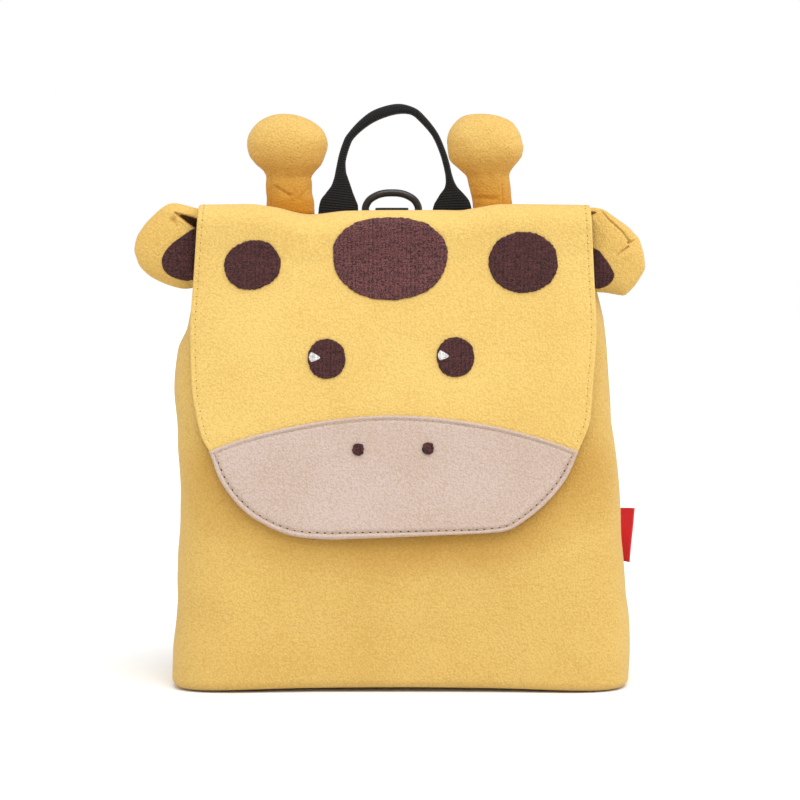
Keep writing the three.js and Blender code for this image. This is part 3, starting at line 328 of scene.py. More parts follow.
class BagSizes(bpy.types.PropertyGroup):
    """Sizes of the backpack."""

    body_width: length("Body width", "Across the bag near its base", 0.268)
    body_height: length("Body height", "From the base to the rim under the flap", 0.264)
    body_depth: length("Body depth", "Front to back near the base", 0.103)
    body_wall: length("Body wall", "Thickness of the body's cloth and padding", 0.0024)
    front_spread: length("Front spread", "How far the stuffed base bulges forwards", 0.004)
    corner_spread: length("Corner spread", "How far the front's lower corners splay", 0.008)
    base_rise: length("Base rise", "How far the middle of the base is off the floor", 0.0026)
    base_rounding: length("Base rounding", "Radius of the edge round the base", 0.0055)
    seam_width: length("Seam width", "Across a side seam", 0.0042)
    seam_thickness: length("Seam thickness", "Thickness of a side seam", 0.0016)
    flap_width: length("Flap width", "Across the flap", 0.228)
    flap_thickness: length("Flap thickness", "Thickness of the padded flap", 0.003)
    flap_puff: length("Flap puff", "Height of the flap's soft swellings", 0.0016)
    flap_clearance: length("Flap clearance", "Air between the body and the flap", 0.0008)
    flap_edge_height: length("Flap edge height", "Lower edge of the flap above the base", 0.088)
    flap_edge_lift: length("Flap edge lift", "Rise of the lower edge to its right", 0.0034)
    flap_side_bend: length("Flap side bend", "How far the side edges bend back", 0.005)
    ridge_above_rim: length("Ridge above rim", "Ridge of the flap above the body's rim", 0.0146)
    ridge_radius: length("Ridge radius", "Radius of the fold at the ridge", 0.012)
    ridge_sag: length("Ridge sag", "Depth of the deepest dip in the ridge", 0.007)
    top_fall: length("Top fall", "Fall of the flap from the ridge to the back", 0.003)
    hem_radius: length("Hem radius", "Radius of the fold at the back", 0.008)
    hem_length: length("Hem length", "Length of flap below the back fold", 0.014)
    muzzle_thickness: length("Muzzle thickness", "Thickness of the muzzle panel", 0.0016)
    muzzle_side: length("Muzzle side", "Muzzle height at the sides", 0.050)
    muzzle_middle: length("Muzzle middle", "Muzzle height in the middle", 0.071)
    embroidery: length("Embroidery", "Thickness of the embroidery", 0.001)
    stitch_spacing: length("Stitch spacing", "From one stitch to the next", 0.0043)
    stitch_inset: length("Stitch inset", "From an edge to its line of stitches", 0.0031)
    stitch_length: length("Stitch length", "Length of a stitch", 0.0036)
    stitch_thread: length("Stitch thread", "Thickness of the sewing thread", 0.0007)
    flap_hole: length("Flap hole", "Radius of the holes between the flap's stitches", 0.00055)
    muzzle_hole: length("Muzzle hole", "Radius of those between the muzzle's", 0.00075)
    ear_reach: length("Ear reach", "How far an ear stands out", 0.033)
    ear_height: length("Ear height", "Height of an ear", 0.049)
    ear_thickness: length("Ear thickness", "Thickness of a stuffed ear", 0.016)
    # The ear's face is painted dark as shade where its folds are deeper than this.
    ear_opening: length("Ear opening", "Depth of fold from which an ear's cloth is dark", 0.0030)
    ear_setback: length("Ear setback", "Middle of an ear behind the flap", 0.013)
    horn_width: length("Horn width", "Across a horn's knob", 0.048)
    horn_height: length("Horn height", "Height of a horn", 0.057)
    horn_depth: length("Horn depth", "Front to back of a horn's knob", 0.033)
    horn_setback: length("Horn setback", "Middle of the horns behind the ridge", 0.050)
    horn_left: length("Left horn", "Place of the left horn across the bag", -0.0625)
    horn_right: length("Right horn", "Place of the right horn across the bag", 0.054)
    handle_span: length("Handle span", "Between the feet of the handle", 0.068)
    handle_rise: length("Handle rise", "Height of the handle over its seam", 0.083)
    handle_webbing: length("Handle webbing", "Width of the handle's webbing", 0.025)
    handle_flat: length("Handle flat", "Thickness of the handle's feet", 0.002)
    grip_width: length("Grip width", "Rolled handle, seen from the front", 0.006)
    grip_depth: length("Grip depth", "Rolled handle, front to back", 0.010)
    ring_width: length("Ring width", "Across the ring, middle to middle of its wire", 0.032)
    ring_rise: length("Ring rise", "Height of the ring over its bar", 0.0128)
    ring_wire: length("Ring wire", "Thickness of the ring", 0.0045)
    ring_play: length("Ring play", "Air between the ring's bar and its keeper", 0.0004)
    keeper_drop: length("Keeper drop", "Foot of the keeper below the ring's bar", 0.015)
    keeper_width: length("Keeper width", "Width of the webbing that holds the ring", 0.020)
    keeper_webbing: length("Keeper webbing", "Thickness of that webbing", 0.0013)
    label_reach: length("Label reach", "How far the red tab stands out", 0.0078)
    label_height: length("Label height", "Height of the red tab", 0.031)
    label_thickness: length("Label thickness", "Thickness of the red tab", 0.0016)
    label_base: length("Label base", "Lower end of the red tab above the base", 0.070)
    label_root: length("Label root", "How far the red tab reaches into the seam", 0.0015)
    label_cloth: length("Label cloth", "Thickness of the red tab's cloth", 0.00045)
    panel_margin: length("Panel margin", "Back panel to the side of the body", 0.034)
    panel_foot: length("Panel foot", "Lower edge of the back panel above the base", 0.056)
    panel_thickness: length("Panel thickness", "Thickness of the back panel", 0.006)
    panel_rounding: length("Panel rounding", "Roundness of the back panel's edge", 0.005)
    quilt_depth: length("Quilt depth", "Depth and half width of a quilted seam", 0.0022)
    strap_width: length("Strap width", "Width of a shoulder strap", 0.042)
    strap_thickness: length("Strap thickness", "Thickness of a shoulder strap", 0.007)
    strap_drop: length("Strap drop", "Height of the padded strap", 0.138)
    strap_bow: length("Strap bow", "How far a strap stands off the back", 0.026)
    strap_top: length("Strap top", "Strap to the middle at the top", 0.040)
    strap_splay: length("Strap splay", "How far a strap leans outwards", 0.026)
    strap_seam: length("Strap seam", "From a strap's edge to its seam", 0.0045)
    adjuster_length: length("Adjuster length", "Length of an adjuster", 0.024)
    adjuster_width: length("Adjuster width", "Across an adjuster", 0.032)
    adjuster_opening: length("Adjuster opening", "Across an adjuster's openings", 0.024)
    adjuster_thickness: length("Adjuster thickness", "Thickness of an adjuster", 0.004)
    adjuster_rounding: length("Adjuster rounding", "Roundness of its edges", 0.0009)
    webbing_side: length("Webbing side", "Webbing's foot to the middle of the bag", 0.092)
    webbing_foot: length("Webbing foot", "Webbing's foot above the base", 0.030)
    webbing_width: length("Webbing width", "Width of the strap's webbing", 0.022)
    webbing_thickness: length("Webbing thickness", "Thickness of that webbing", 0.0016)
    fit: length("Fit", "Air between pieces that are sewn together", 0.00035)


class BagColours(bpy.types.PropertyGroup):
    """Colours of the backpack."""

    suede: colour("Suede", "Yellow suede of the flap", (0.684, 0.478, 0.152))
    suede_ear: colour("Ear suede", "Yellow suede of the ears", (0.630, 0.416, 0.119))
    # Painted shade: a darker copy of the flap's suede, for light that falls off towards the base.
    suede_body: colour("Body suede", "Yellow suede of the body and back", (0.575, 0.386, 0.115))
    suede_horn: colour("Horn suede", "Yellow suede of the horns' knobs", (0.632, 0.420, 0.126))
    # Painted shadow: the body's suede darkened round the foot of the flap.
    under_flap: colour("Under the flap", "Nap of the body by the flap", (0.480, 0.283, 0.066))
    # Painted shade at the feet of the horns, where the knobs and the flap shade the stems.
    horn_foot: colour("Horn foot", "Brushed darker at the feet of the horns", (0.49, 0.200, 0.006))
    # Painted shade: dark suede laid inside the left ear's fold.
    ear_shade: colour("Ear shade", "Inside the fold of the left ear", (0.150, 0.060, 0.022))
    beige: colour("Beige suede", "Suede of the muzzle", (0.503, 0.400, 0.362))
    # Painted shade: dark discs stand for the needle holes of the muzzle's and the flap's
    # stitching.
    stitch_hole: colour("Stitch hole", "Holes along the muzzle", (0.060, 0.030, 0.030))
    edge_hole: colour("Edge hole", "Holes between the flap's stitches", (0.260, 0.120, 0.028))
    thread_brown: colour("Brown thread", "Embroidery of the middle spot", (0.0535, 0.0172, 0.0172))
    thread_dark: colour("Dark thread", "Embroidery of the rest", (0.0285, 0.0071, 0.0071))
    thread_white: colour("White thread", "Light in the eyes", (0.62, 0.61, 0.60))
    thread_yellow: colour("Yellow thread", "Stitching of the yellow suede", (0.640, 0.430, 0.130))
    thread_beige: colour("Beige thread", "Stitching of the muzzle", (0.530, 0.400, 0.260))
    webbing: colour("Webbing", "Black woven webbing", (0.004, 0.004, 0.005))
    plastic: colour("Plastic", "Black moulded plastic", (0.008, 0.008, 0.009))
    label: colour("Label", "Red woven tab", (0.73, 0.0255, 0.038))
    lining: colour("Lining", "Cloth inside the bag", (0.42, 0.32, 0.20))
    floor: colour("Floor", "Surface that the bag stands on", (0.90, 0.90, 0.90))


class Wire:
    """A socket that sums, differences and products add their own nodes to."""

    def __init__(self, finish, socket):
        self.finish = finish
        self.socket = socket

    def _joined(self, operation, *values):
        several = self.socket.type in {"VECTOR", "RGBA"}
        kind = "ShaderNodeVectorMath" if several else "ShaderNodeMath"
        return self.finish.node(kind, {"operation": operation}, *values)

    def __add__(self, other):
        return self._joined("ADD", self, other)

    def __radd__(self, other):
        return self._joined("ADD", other, self)

    def __sub__(self, other):
        return self._joined("SUBTRACT", self, other)

    def __rsub__(self, other):
        return self._joined("SUBTRACT", other, self)

    def __mul__(self, other):
        return self._joined("MULTIPLY", self, other)


class Finish:
    """A material made of nodes."""

    def __init__(self, name):
        self.material = bpy.data.materials.new(name)
        self.material.use_nodes = True
        self.tree = self.material.node_tree
        self.tree.nodes.clear()
        self.shader = self.tree.nodes.new("ShaderNodeBsdfPrincipled")
        output = self.tree.nodes.new("ShaderNodeOutputMaterial")
        self.tree.links.new(self.shader.outputs["BSDF"], output.inputs["Surface"])

    def node(self, kind, settings=None, *values, out=0, **named):
        """Add a node, with its settings first, then the values or links of its sockets."""
        made = self.tree.nodes.new(kind)
        for key, value in (settings or {}).items():
            setattr(made, key, value)
        sockets = list(enumerate(values))
        sockets += [(key.replace("_", " "), value) for key, value in named.items()]
        for key, value in sockets:
            self.feed(made.inputs[key], value)
        return Wire(self, made.outputs[out])

    def feed(self, socket, value):
        """Link a wire to a socket, or set the socket's own value."""
        if isinstance(value, Wire):
            self.tree.links.new(value.socket, socket)
        elif isinstance(value, tuple) and len(value) == 3 and socket.type == "RGBA":
            socket.default_value = (*value, 1.0)
        elif isinstance(value, (int, float)) and socket.type == "VECTOR":
            socket.default_value = (value, value, value)
        else:
            socket.default_value = value

    def set(self, **values):
        """Feed the shader's sockets by name, with _ for each space."""
        for key, value in values.items():
            self.feed(self.shader.inputs[key.replace("_", " ")], value)

    def place(self):
        return self.node("ShaderNodeTexCoord", out="Object")

    def lay(self):
        """Place along and across a band, in metres, kept as its UV map."""
        return self.node("ShaderNodeTexCoord", out="UV")

    def noise(self, place, size, detail=2.0, roughness=0.5):
        return self.node(
            "ShaderNodeTexNoise", None, Vector=place, Scale=1.0 / size, Detail=detail,
            Roughness=roughness, out="Fac",
        )

    def mix(self, share, first, second, blend="MIX"):
        made = self.tree.nodes.new("ShaderNodeMix")
        made.data_type = "RGBA"
        made.blend_type = blend
        self.feed(made.inputs[0], share)
        self.feed(made.inputs[6], first)
        self.feed(made.inputs[7], second)
        return Wire(self, made.outputs[2])

    def ramp(self, value, low, high):
        """0 below low, 1 above high and straight between."""
        return self.node(
            "ShaderNodeMapRange", {"clamp": True}, Value=value,
            **{"From_Min": low, "From_Max": high, "To_Min": 0.0, "To_Max": 1.0},
        )

    def parts(self, place):
        """The three numbers of a place."""
        split = self.node("ShaderNodeSeparateXYZ", None, place).socket.node
        return [Wire(self, split.outputs[axis]) for axis in "XYZ"]

    def wave(self, place, pitch):
        """A wave from -1 to 1 that comes round once in each pitch."""
        return self.node("ShaderNodeMath", {"operation": "SINE"}, place * (math.tau / pitch))

    def bump(self, height, depth, strength=1.0):
        self.set(Normal=self.node(
            "ShaderNodeBump", None, Strength=strength, Distance=depth, Height=height,
            out="Normal",
        ))


def suede(name, light, foot=None, shade=None):
    """Brushed microfibre: a fine pebbled grain under a short nap that lies in soft patches.

    Shade may be painted darker towards a foot, given as its colour and two heights, and the
    flap's shadow painted round the foot of an oval on the front, given as its colour, middle
    and half sizes and the heights between which it fades.
    """
    finish = Finish(name)
    light = tuple(light)
    place = finish.place()
    cloud = finish.noise(place, 0.055, 2.0, 0.5)
    nap = finish.noise(place, 0.0010, 3.0, 0.65)
    fibre = finish.noise(place, 0.00045, 2.0, 0.6)
    pebbles = finish.node(
        "ShaderNodeTexVoronoi", {"feature": "F1"}, out="Distance", Vector=place,
        Scale=760.0, Randomness=1.0,
    )
    valley = finish.ramp(pebbles, 0.3, 0.8)
    tone = cloud * 0.4 + nap * 0.85 + fibre * 0.35 - valley * 0.18
    share = finish.ramp(tone, 0.56, 0.88)
    tint = finish.mix(share, deepened(light), light)
    # Painted shade: the horns darker towards their feet.
    if foot:
        darker, low, high = foot
        height = finish.ramp(finish.parts(place)[2] + cloud * 0.012, low, high)
        below = finish.mix(share, deepened(darker), tuple(darker))
        tint = finish.mix(height, below, tint)
    # Painted shadow of the flap: darker round the foot of an oval on the body's front.
    if shade:
        darker, middle, half, level = shade
        x, y, z = finish.parts(place)
        across, up = (x - middle[0]) * (1 / half[0]), (z - middle[1]) * (1 / half[1])
        away = finish.ramp(across * across + up * up + cloud * 0.3, 1.1, 2.1)
        away = 1.0 - (1.0 - away) * (1.0 - finish.ramp(z, *level))
        behind = finish.ramp(y, -0.042, -0.028)
        under = finish.mix(share, deepened(darker), tuple(darker))
        tint = finish.mix((1.0 - away) * (1.0 - behind), tint, under)
    finish.set(
        Base_Color=tint,
        Roughness=0.78 + nap * 0.18,
        Sheen_Weight=0.2,
        Sheen_Roughness=0.5,
        Sheen_Tint=(*(0.5 + 0.5 * c for c in light), 1.0),
        Specular_IOR_Level=0.15,
    )
    finish.bump(nap * 0.6 + fibre * 0.3 - valley * 0.45, 0.0006, 0.8)
    return finish.material


def embroidery(name, thread, shaded=0.08, lit=3.9):
    """Fine rows of thread in slow columns, each catching the light its own way."""
    finish = Finish(name)
    place = finish.place()
    x, _, z = finish.parts(place)
    wander = finish.noise(place, 0.004, 2.0, 0.5)
    flat = finish.node("ShaderNodeCombineXYZ", None, X=x, Y=z + wander * 0.0006, Z=0.0)
    threads = finish.node(
        "ShaderNodeTexBrick", {"offset": 0.37, "offset_frequency": 2}, Vector=flat,
        Color1=(0.0, 0.0, 0.0), Color2=(1.0, 1.0, 1.0), Mortar=(0.5, 0.5, 0.5), Scale=1.0,
        **{"Mortar_Size": 0.00008, "Mortar_Smooth": 0.5, "Brick_Width": 0.0031,
           "Row_Height": 0.0006},
    )
    gaps = Wire(finish, threads.socket.node.outputs["Fac"])
    columns = finish.wave(x + wander * 0.0012, 0.0024)
    fuzz = finish.noise(place, 0.0008, 2.0, 0.7)
    dark = tuple(c * shaded for c in thread)
    pale = tuple(min(c * lit + 0.004, 1.0) for c in thread)
    flecked = finish.mix(finish.ramp(fuzz + columns * 0.03, 0.42, 0.58), dark, pale)
    single = finish.mix(0.35, flecked, finish.mix(threads, dark, pale))
    finish.set(
        Base_Color=finish.mix(gaps * 0.6, single, dark),
        Roughness=0.52 + fuzz * 0.2,
        Sheen_Weight=0.05,
        Specular_IOR_Level=0.2,
    )
    finish.bump((1.0 - gaps) * 0.8 + fuzz * 0.4 + columns * 0.1, 0.0005, 0.8)
    return finish.material


def webbing(name, tone):
    """Ribbed webbing; its UV map runs across and along the band in metres."""
    finish = Finish(name)
    across, along, _ = finish.parts(finish.lay())
    rib = finish.wave(along, 0.00145)
    yarn = finish.wave(across, 0.0012)
    fuzz = finish.noise(finish.place(), 0.0006, 3.0, 0.7)
    ribs = finish.ramp(rib, -0.6, 0.9)
    speckle = finish.ramp(rib * yarn * 0.5 + fuzz, 0.4, 1.05)
    light = tuple(c * 3 + 0.006 for c in tone)
    finish.set(
        Base_Color=finish.mix(speckle, tuple(tone), light),
        Roughness=0.62 + fuzz * 0.25,
        Sheen_Weight=0.03,
        Specular_IOR_Level=0.25,
    )
    finish.bump(ribs * 0.8 + yarn * 0.12 + fuzz * 0.25, 0.0005, 0.9)
    return finish.material


def moulded(name, tone):
    """Black plastic with a soft gloss and faint scuffs."""
    finish = Finish(name)
    place = finish.place()
    scuff = finish.noise(place, 0.006, 4.0, 0.6)
    fine = finish.noise(place, 0.0012, 2.0, 0.5)
    finish.set(
        Base_Color=finish.mix(finish.ramp(scuff, 0.45, 0.75), tuple(tone), (0.02, 0.02, 0.022)),
        Roughness=0.26 + scuff * 0.16,
        Coat_Weight=0.15,
        Coat_Roughness=0.2,
        Specular_IOR_Level=0.4,
    )
    finish.bump(fine, 0.00008, 0.3)
    return finish.material


def woven(name, tone, pitch=0.0007):
    """Plain woven cloth for the tab, the lining and the sewing thread."""
    finish = Finish(name)
    place = finish.place()
    x, y, z = finish.parts(place)
    warp, weft = finish.wave(x + y, pitch), finish.wave(z, pitch)
    cloud = finish.noise(place, 0.012, 3.0, 0.5)
    deep = tuple(c * 0.72 for c in tone)
    share = finish.ramp(cloud + warp * weft * 0.12, 0.3, 0.65)
    finish.set(
        Base_Color=finish.mix(share, deep, tuple(tone)),
        Roughness=0.7 + cloud * 0.2,
        Sheen_Weight=0.1,
        Specular_IOR_Level=0.25,
    )
    finish.bump(warp * weft * 0.5 + cloud * 0.4, 0.0002, 0.7)
    return finish.material


def deepened(tone):
    """The shaded tone of a nap, a little more saturated than the light one."""
    return (tone[0] * 0.84, tone[1] * 0.78, tone[2] * 0.66)


def finishes():
    """For each finish the function that makes it, and what that is given."""
    tones = bpy.context.scene.bag_colours
    # Painted shade for the horns' feet.
    foot = (tones.horn_foot, *PAINTED_HORN_SHADE_HEIGHTS)
    under_flap = (tones.under_flap, *PAINTED_FLAP_SHADOW)
    return {
        "suede_flap": (suede, tones.suede),
        "suede_ear": (suede, tones.suede_ear),
        "suede_body": (suede, tones.suede_body, None, under_flap),
        "suede_horn": (suede, tones.suede_horn, foot),
        "suede_beige": (suede, tones.beige),
        "ear_shade": (suede, tones.ear_shade),
        "stitch_hole": (woven, tones.stitch_hole),
        "edge_hole": (woven, tones.edge_hole),
        "thread_brown": (embroidery, tones.thread_brown),
        "thread_dark": (embroidery, tones.thread_dark),
        "thread_white": (embroidery, tones.thread_white, 0.55, 1.6),
        "stitch_yellow": (woven, tones.thread_yellow),
        "stitch_beige": (woven, tones.thread_beige),
        "webbing_black": (webbing, tones.webbing),
        "plastic_black": (moulded, tones.plastic),
        "tab_red": (woven, tones.label),
        "lining": (woven, tones.lining, 0.0011),
    }


def finish_named(name):
    """Material of a finish, made when it is first asked for."""
    known = bpy.data.materials.get(name)
    if known:
        return known
    maker, *given = finishes()[name]
    return maker(name, *given)


class Curve:
    """A smooth line through a table's values, never beyond the rows on either side."""

    def __init__(self, places, values):
        self.places = np.array(places, float)
        self.values = np.array(values, float)
        rise = np.diff(self.values) / np.diff(self.places)
        before = np.concatenate([rise[:1], rise])
        after = np.concatenate([rise, rise[-1:]])
        total = np.where(before + after == 0.0, 1.0, before + after)
        self.slopes = np.where(before * after > 0, 2 * before * after / total, 0.0)

    def __call__(self, place):
        t = np.clip(place, self.places[0], self.places[-1])
        i = np.clip(np.searchsorted(self.places, t, side="right") - 1, 0, len(self.places) - 2)
        span = self.places[i + 1] - self.places[i]
        f = (t - self.places[i]) / span
        held = (1 + 2 * f) * (1 - f) ** 2 * self.values[i]
        held = held + f * f * (3 - 2 * f) * self.values[i + 1]
        lean = f * (1 - f) ** 2 * self.slopes[i] + f * f * (f - 1) * self.slopes[i + 1]
        return held + span * lean


def curves(rows, key):
    """A curve for each other column of a table."""
    places = [row[key] for row in rows]
    return {c: Curve(places, [row[c] for row in rows]) for c in rows[0] if c != key}


def smoothstep(value, low, high):
    """0 below low, 1 above high and a smooth step between."""
    t = np.clip((value - low) / (high - low), 0.0, 1.0)
    return t * t * (3 - 2 * t)


def hump(value, middle, width):
    """A bell that is 1 at its middle and 0.37 a width away from it."""
    return np.exp(-(((value - middle) / width) ** 2))


def unit(vectors):
    """Vectors of length 1 in the same directions."""
    return vectors / np.maximum(np.linalg.norm(vectors, axis=-1, keepdims=True), 1e-12)


def eased(share):
    """Quarter circle that rises from 0 at an edge to 1 where the share is 1."""
    return np.sqrt(1 - (1 - np.minimum(share, 1)) ** 2)


def around(count):
    """Angles evenly spaced round a circle."""
    return np.arange(count) / count * math.tau


def reach_along(line):
    """Distance of each of a line's points from its start, along the line."""
    return np.concatenate([[0.0], np.cumsum(np.linalg.norm(np.diff(line, axis=0), axis=1))])


def dents(points, size, seed=0.0):
    """Soft noise from -1 to 1 at points, with hollows about size metres across."""
    flat = points.reshape(-1, 3) / size + seed
    return np.array([noise.noise(Vector(p)) for p in flat]).reshape(points.shape[:-1])


def resampled(line, count, closed=False):
    """Points evenly spaced along a line."""
    whole = np.vstack([line, line[:1]]) if closed else np.asarray(line)
    reach = reach_along(whole)
    places = np.linspace(0.0, reach[-1], count + 1 if closed else count)
    even = np.stack([np.interp(places, reach, column) for column in whole.T], axis=1)
    return even[:-1] if closed else even


def rounded(points, closed, fine=24):
    """A Catmull-Rom curve through points."""
    p = np.asarray(points, float)
    if closed:
        p = np.vstack([p[-1:], p, p[:2]])
    else:
        p = np.vstack([2 * p[:1] - p[1:2], p, 2 * p[-1:] - p[-2:-1]])
    t = np.linspace(0.0, 1.0, fine, endpoint=False)[:, None]
    parts = []
    for a, b, c, d in zip(p[:-3], p[1:-2], p[2:-1], p[3:]):
        bend = 2 * b + (c - a) * t + (2 * a - 5 * b + 4 * c - d) * t**2
        parts.append(0.5 * (bend + (3 * b - a - 3 * c + d) * t**3))
    if not closed:
        parts.append(p[-2:-1])
    return np.vstack(parts)


def distances(points, outline):
    """Distance of each point of a plane from a closed outline."""
    flat = points.reshape(-1, 2)
    start = outline
    run = np.roll(outline, -1, axis=0) - start
    square = np.maximum((run**2).sum(axis=1), 1e-14)
    found = np.empty(len(flat))
    for first in range(0, len(flat), 2000):
        some = flat[first : first + 2000, None] - start
        share = np.clip((some * run).sum(axis=2) / square, 0.0, 1.0)
        gap = some - share[..., None] * run
        found[first : first + 2000] = np.sqrt((gap**2).sum(axis=2).min(axis=1))
    return found.reshape(points.shape[:-1])


def grooves(rows, x, z, width, height):
    """Depth of a table's folds at places on a face, which is a width and height across."""
    cut, lift = np.zeros_like(x), np.zeros_like(x)
    for row in rows:
        start = np.array(row["from"]) * (width, height)
        run = np.array(row["to"]) * (width, height) - start
        far_x, far_z = x - start[0], z - start[1]
        share = np.clip((far_x * run[0] + far_z * run[1]) / (run**2).sum(), 0, 1)
        gap = np.hypot(far_x - share * run[0], far_z - share * run[1])
        wide = np.interp(share, (0, 1), row["wide"]) * MM
        deep = np.interp(share, (0, 1), row["deep"]) * MM
        shape = deep * np.exp(-((gap / wide) ** row.get("steep", 2)))
        cut, lift = np.maximum(cut, shape), np.minimum(lift, shape)
    return cut + lift


def inset(outline, distance):
    """A closed outline moved inwards by a distance, or by one for each of its points."""
    along = unit(np.roll(outline, -1, axis=0) - np.roll(outline, 1, axis=0))
    inwards = np.stack([-along[:, 1], along[:, 0]], axis=1)
    x, y = outline.T
    area = (x * np.roll(y, -1) - np.roll(x, -1) * y).sum()
    return outline + inwards * np.reshape(distance, (-1, 1)) * np.sign(area)


def places_between(steps, count):
    """Shares and shifts of grid lines: close together at both ends, even between."""
    last = steps[-1]
    middle = [(t, last * (1 - 2 * t)) for t in np.linspace(0, 1, count + 2)[1:-1]]
    ends = [(0.0, step) for step in steps]
    lines = ends + middle + [(1.0, -step) for step in reversed(steps)]
    return np.array(lines).T


class Form:
    """The backpack's surfaces, worked out from its sizes."""

    def __init__(self, sizes):
        s = self.sizes = sizes
        self.body = curves(BODY_SECTIONS, "up")
        self.sides = curves(FLAP_SIDES, "up")
        self.dip = curves(RIDGE_DIPS, "across")["sag"]
        self.stand_off = s.flap_clearance + s.flap_thickness
        self.ridge_z = s.body_height + s.ridge_above_rim
        self.ridge_y = self.lean(s.body_height) - self.stand_off
        self.hem_y = float(self.back(0.0, s.body_height * 0.95)) + self.stand_off
        self.front_length = self.ridge_z - s.ridge_radius - s.flap_edge_height
        self.ridge_length = s.ridge_radius * math.pi / 2
        self.top_length = self.hem_y - s.hem_radius - self.ridge_y - s.ridge_radius
        self.turn_length = s.hem_radius * math.pi / 2
        self.top_start = self.front_length + self.ridge_length
        self.turn_start = self.top_start + self.top_length
        self.flap_length = self.turn_start + self.turn_length + s.hem_length
        self.hem_foot = self.ridge_z - s.top_fall - s.hem_radius - s.hem_length
        self.panel_top = self.hem_foot - 0.002

    # Body

    def section(self, height):
        """Middle and half sizes of the body's outside at a height, across and in depth."""
        s = self.sizes
        up = (height - s.base_rounding) / (s.body_height - s.base_rounding)
        left = -self.body["left"](up) * s.body_width
        right = self.body["right"](up) * s.body_width
        front = -self.body["front"](up) * s.body_depth
        back = self.body["back"](up) * s.body_depth
        return (left + right) / 2, (front + back) / 2, (right - left) / 2, (back - front) / 2

    def lean(self, height):
        """How far forward the front lies at a height."""
        middle = self.section(np.minimum(height, self.sizes.body_height * 0.95))
        return middle[1] - middle[3]

    def back(self, x, height):
        """How far back the back lies at a place."""
        middle_x, middle_y, half_width, half_depth = self.section(height)
        share = np.minimum(np.abs(x - middle_x) / half_width, 0.999)
        return middle_y + half_depth * (1 - share**BODY_POWER) ** (1 / BODY_POWER)

    # Flap: x across it, s along its face from the lower edge

    def flap_line(self, s):
        """Side view of the flap: y, z, and how far its dips and side bends take part."""
        size = self.sizes
        rise = smoothstep(s / self.front_length, 0.6, 1.0)
        front_z = size.flap_edge_height + s
        turn = np.clip((s - self.front_length) / size.ridge_radius, 0, math.pi / 2)
        share = np.clip((s - self.top_start) / self.top_length, 0, 1)
        fold = np.clip((s - self.turn_start) / size.hem_radius, 0, math.pi / 2)
        down = np.maximum(s - self.turn_start - self.turn_length, 0)
        on_front = s <= self.front_length
        on_ridge = s <= self.top_start
        on_top = s <= self.turn_start
        ridge_y = self.ridge_y + size.ridge_radius * (1 - np.cos(turn))
        top_y = self.ridge_y + size.ridge_radius + share * self.top_length
        hem_y = self.hem_y - size.hem_radius * (1 - np.sin(fold))
        y = np.where(on_top, top_y, hem_y)
        y = np.where(on_ridge, ridge_y, y)
        y = np.where(on_front, self.lean(front_z) - self.stand_off, y)
        ridge_z = self.ridge_z - size.ridge_radius * (1 - np.sin(turn))
        top_z = self.ridge_z - size.top_fall * share * share
        fall = size.top_fall + size.hem_radius * (1 - np.cos(fold)) + down
        z = np.where(on_top, top_z, self.ridge_z - fall)
        z = np.where(on_ridge, ridge_z, z)
        z = np.where(on_front, front_z, z)
        sag = np.where(on_top, 1 - 0.6 * share, 0.4 * (1 - fold / (math.pi / 2)))
        sag = np.where(on_front, rise, np.where(on_ridge, 1.0, sag))
        bend = np.where(on_ridge, 0.4 * (1 - turn / (math.pi / 2)), 0.0)
        bend = np.where(on_front, 1 - 0.6 * rise, bend)
        return y, z, sag, bend

    def flap_sides(self, s):
        """Left and right edges of the flap, and how far its right side is lifted."""
        size = self.sizes
        up = s / (self.ridge_z - size.flap_edge_height)
        width = size.flap_width * (1 - 0.06 * smoothstep(s, self.top_start, self.flap_length))
        left, right = -self.sides["left"](up) * width, self.sides["right"](up) * width
        return left, right, self.sides["lift"](up) * size.flap_edge_lift

    def flap_point(self, x, s):
        """A point of the flap's face, without its swellings."""
        y, z, sag, bend = self.flap_line(s)
        across = x / (self.sizes.flap_width / 2)
        dip = self.dip(across) * self.sizes.ridge_sag * sag
        y = y + self.sizes.flap_side_bend * bend * np.minimum(np.abs(across), 1.1) ** 4
        left, right, lift = self.flap_sides(s)
        lift = lift * np.clip((x - left) / (right - left), 0, 1)
        return np.stack([x + 0 * y, y, z - dip + lift], axis=-1)

    def flap_normal(self, x, s):
        """The way out of the flap's face."""
        step = 0.0005
        across = self.flap_point(x + step, s) - self.flap_point(x - step, s)
        ahead = self.flap_point(x, np.minimum(s + step, self.flap_length))
        return unit(np.cross(across, ahead - self.flap_point(x, np.maximum(s - step, 0))))

    def puff(self, x, s):
        """Soft swellings of the padded flap, in slow waves."""
        a = np.sin(x * 31 + 1.7 * np.sin(s * 23 + 0.6)) * np.sin(s * 27 + 1.1)
        b = np.sin(x * 58 - s * 19 + 2.0) * 0.45
        return self.sizes.flap_puff * (0.5 + 0.5 * (a + b) / 1.45)

    def on_flap(self, x, s, off):
        """Points a distance off the flap's face."""
        x, s, off = np.broadcast_arrays(x, s, off)
        return self.flap_point(x, s) + self.flap_normal(x, s) * (off + self.puff(x, s))[..., None]

    def flap_outline(self):
        """Outline of the flap laid flat: across it and along it."""
        s = np.concatenate([
            np.linspace(0, 0.05, 60, endpoint=False), np.linspace(0.05, self.flap_length, 110),
        ])
        left, right, _ = self.flap_sides(s)
        bottom = np.linspace(left[0], right[0], 30)[1:-1]
        top = np.linspace(right[-1], left[-1], 50)[1:-1]
        return np.vstack([
            np.stack([left, s], axis=1)[::-1], np.stack([bottom, 0 * bottom], axis=1),
            np.stack([right, s], axis=1), np.stack([top, 0 * top + self.flap_length], axis=1),
        ])

    def muzzle_top(self, across):
        """Upper edge of the muzzle along the flap, at shares of the half width."""
        size = self.sizes
        fall = (size.muzzle_middle - size.muzzle_side) * np.minimum(np.abs(across), 1) ** 1.8
        return size.muzzle_middle - fall

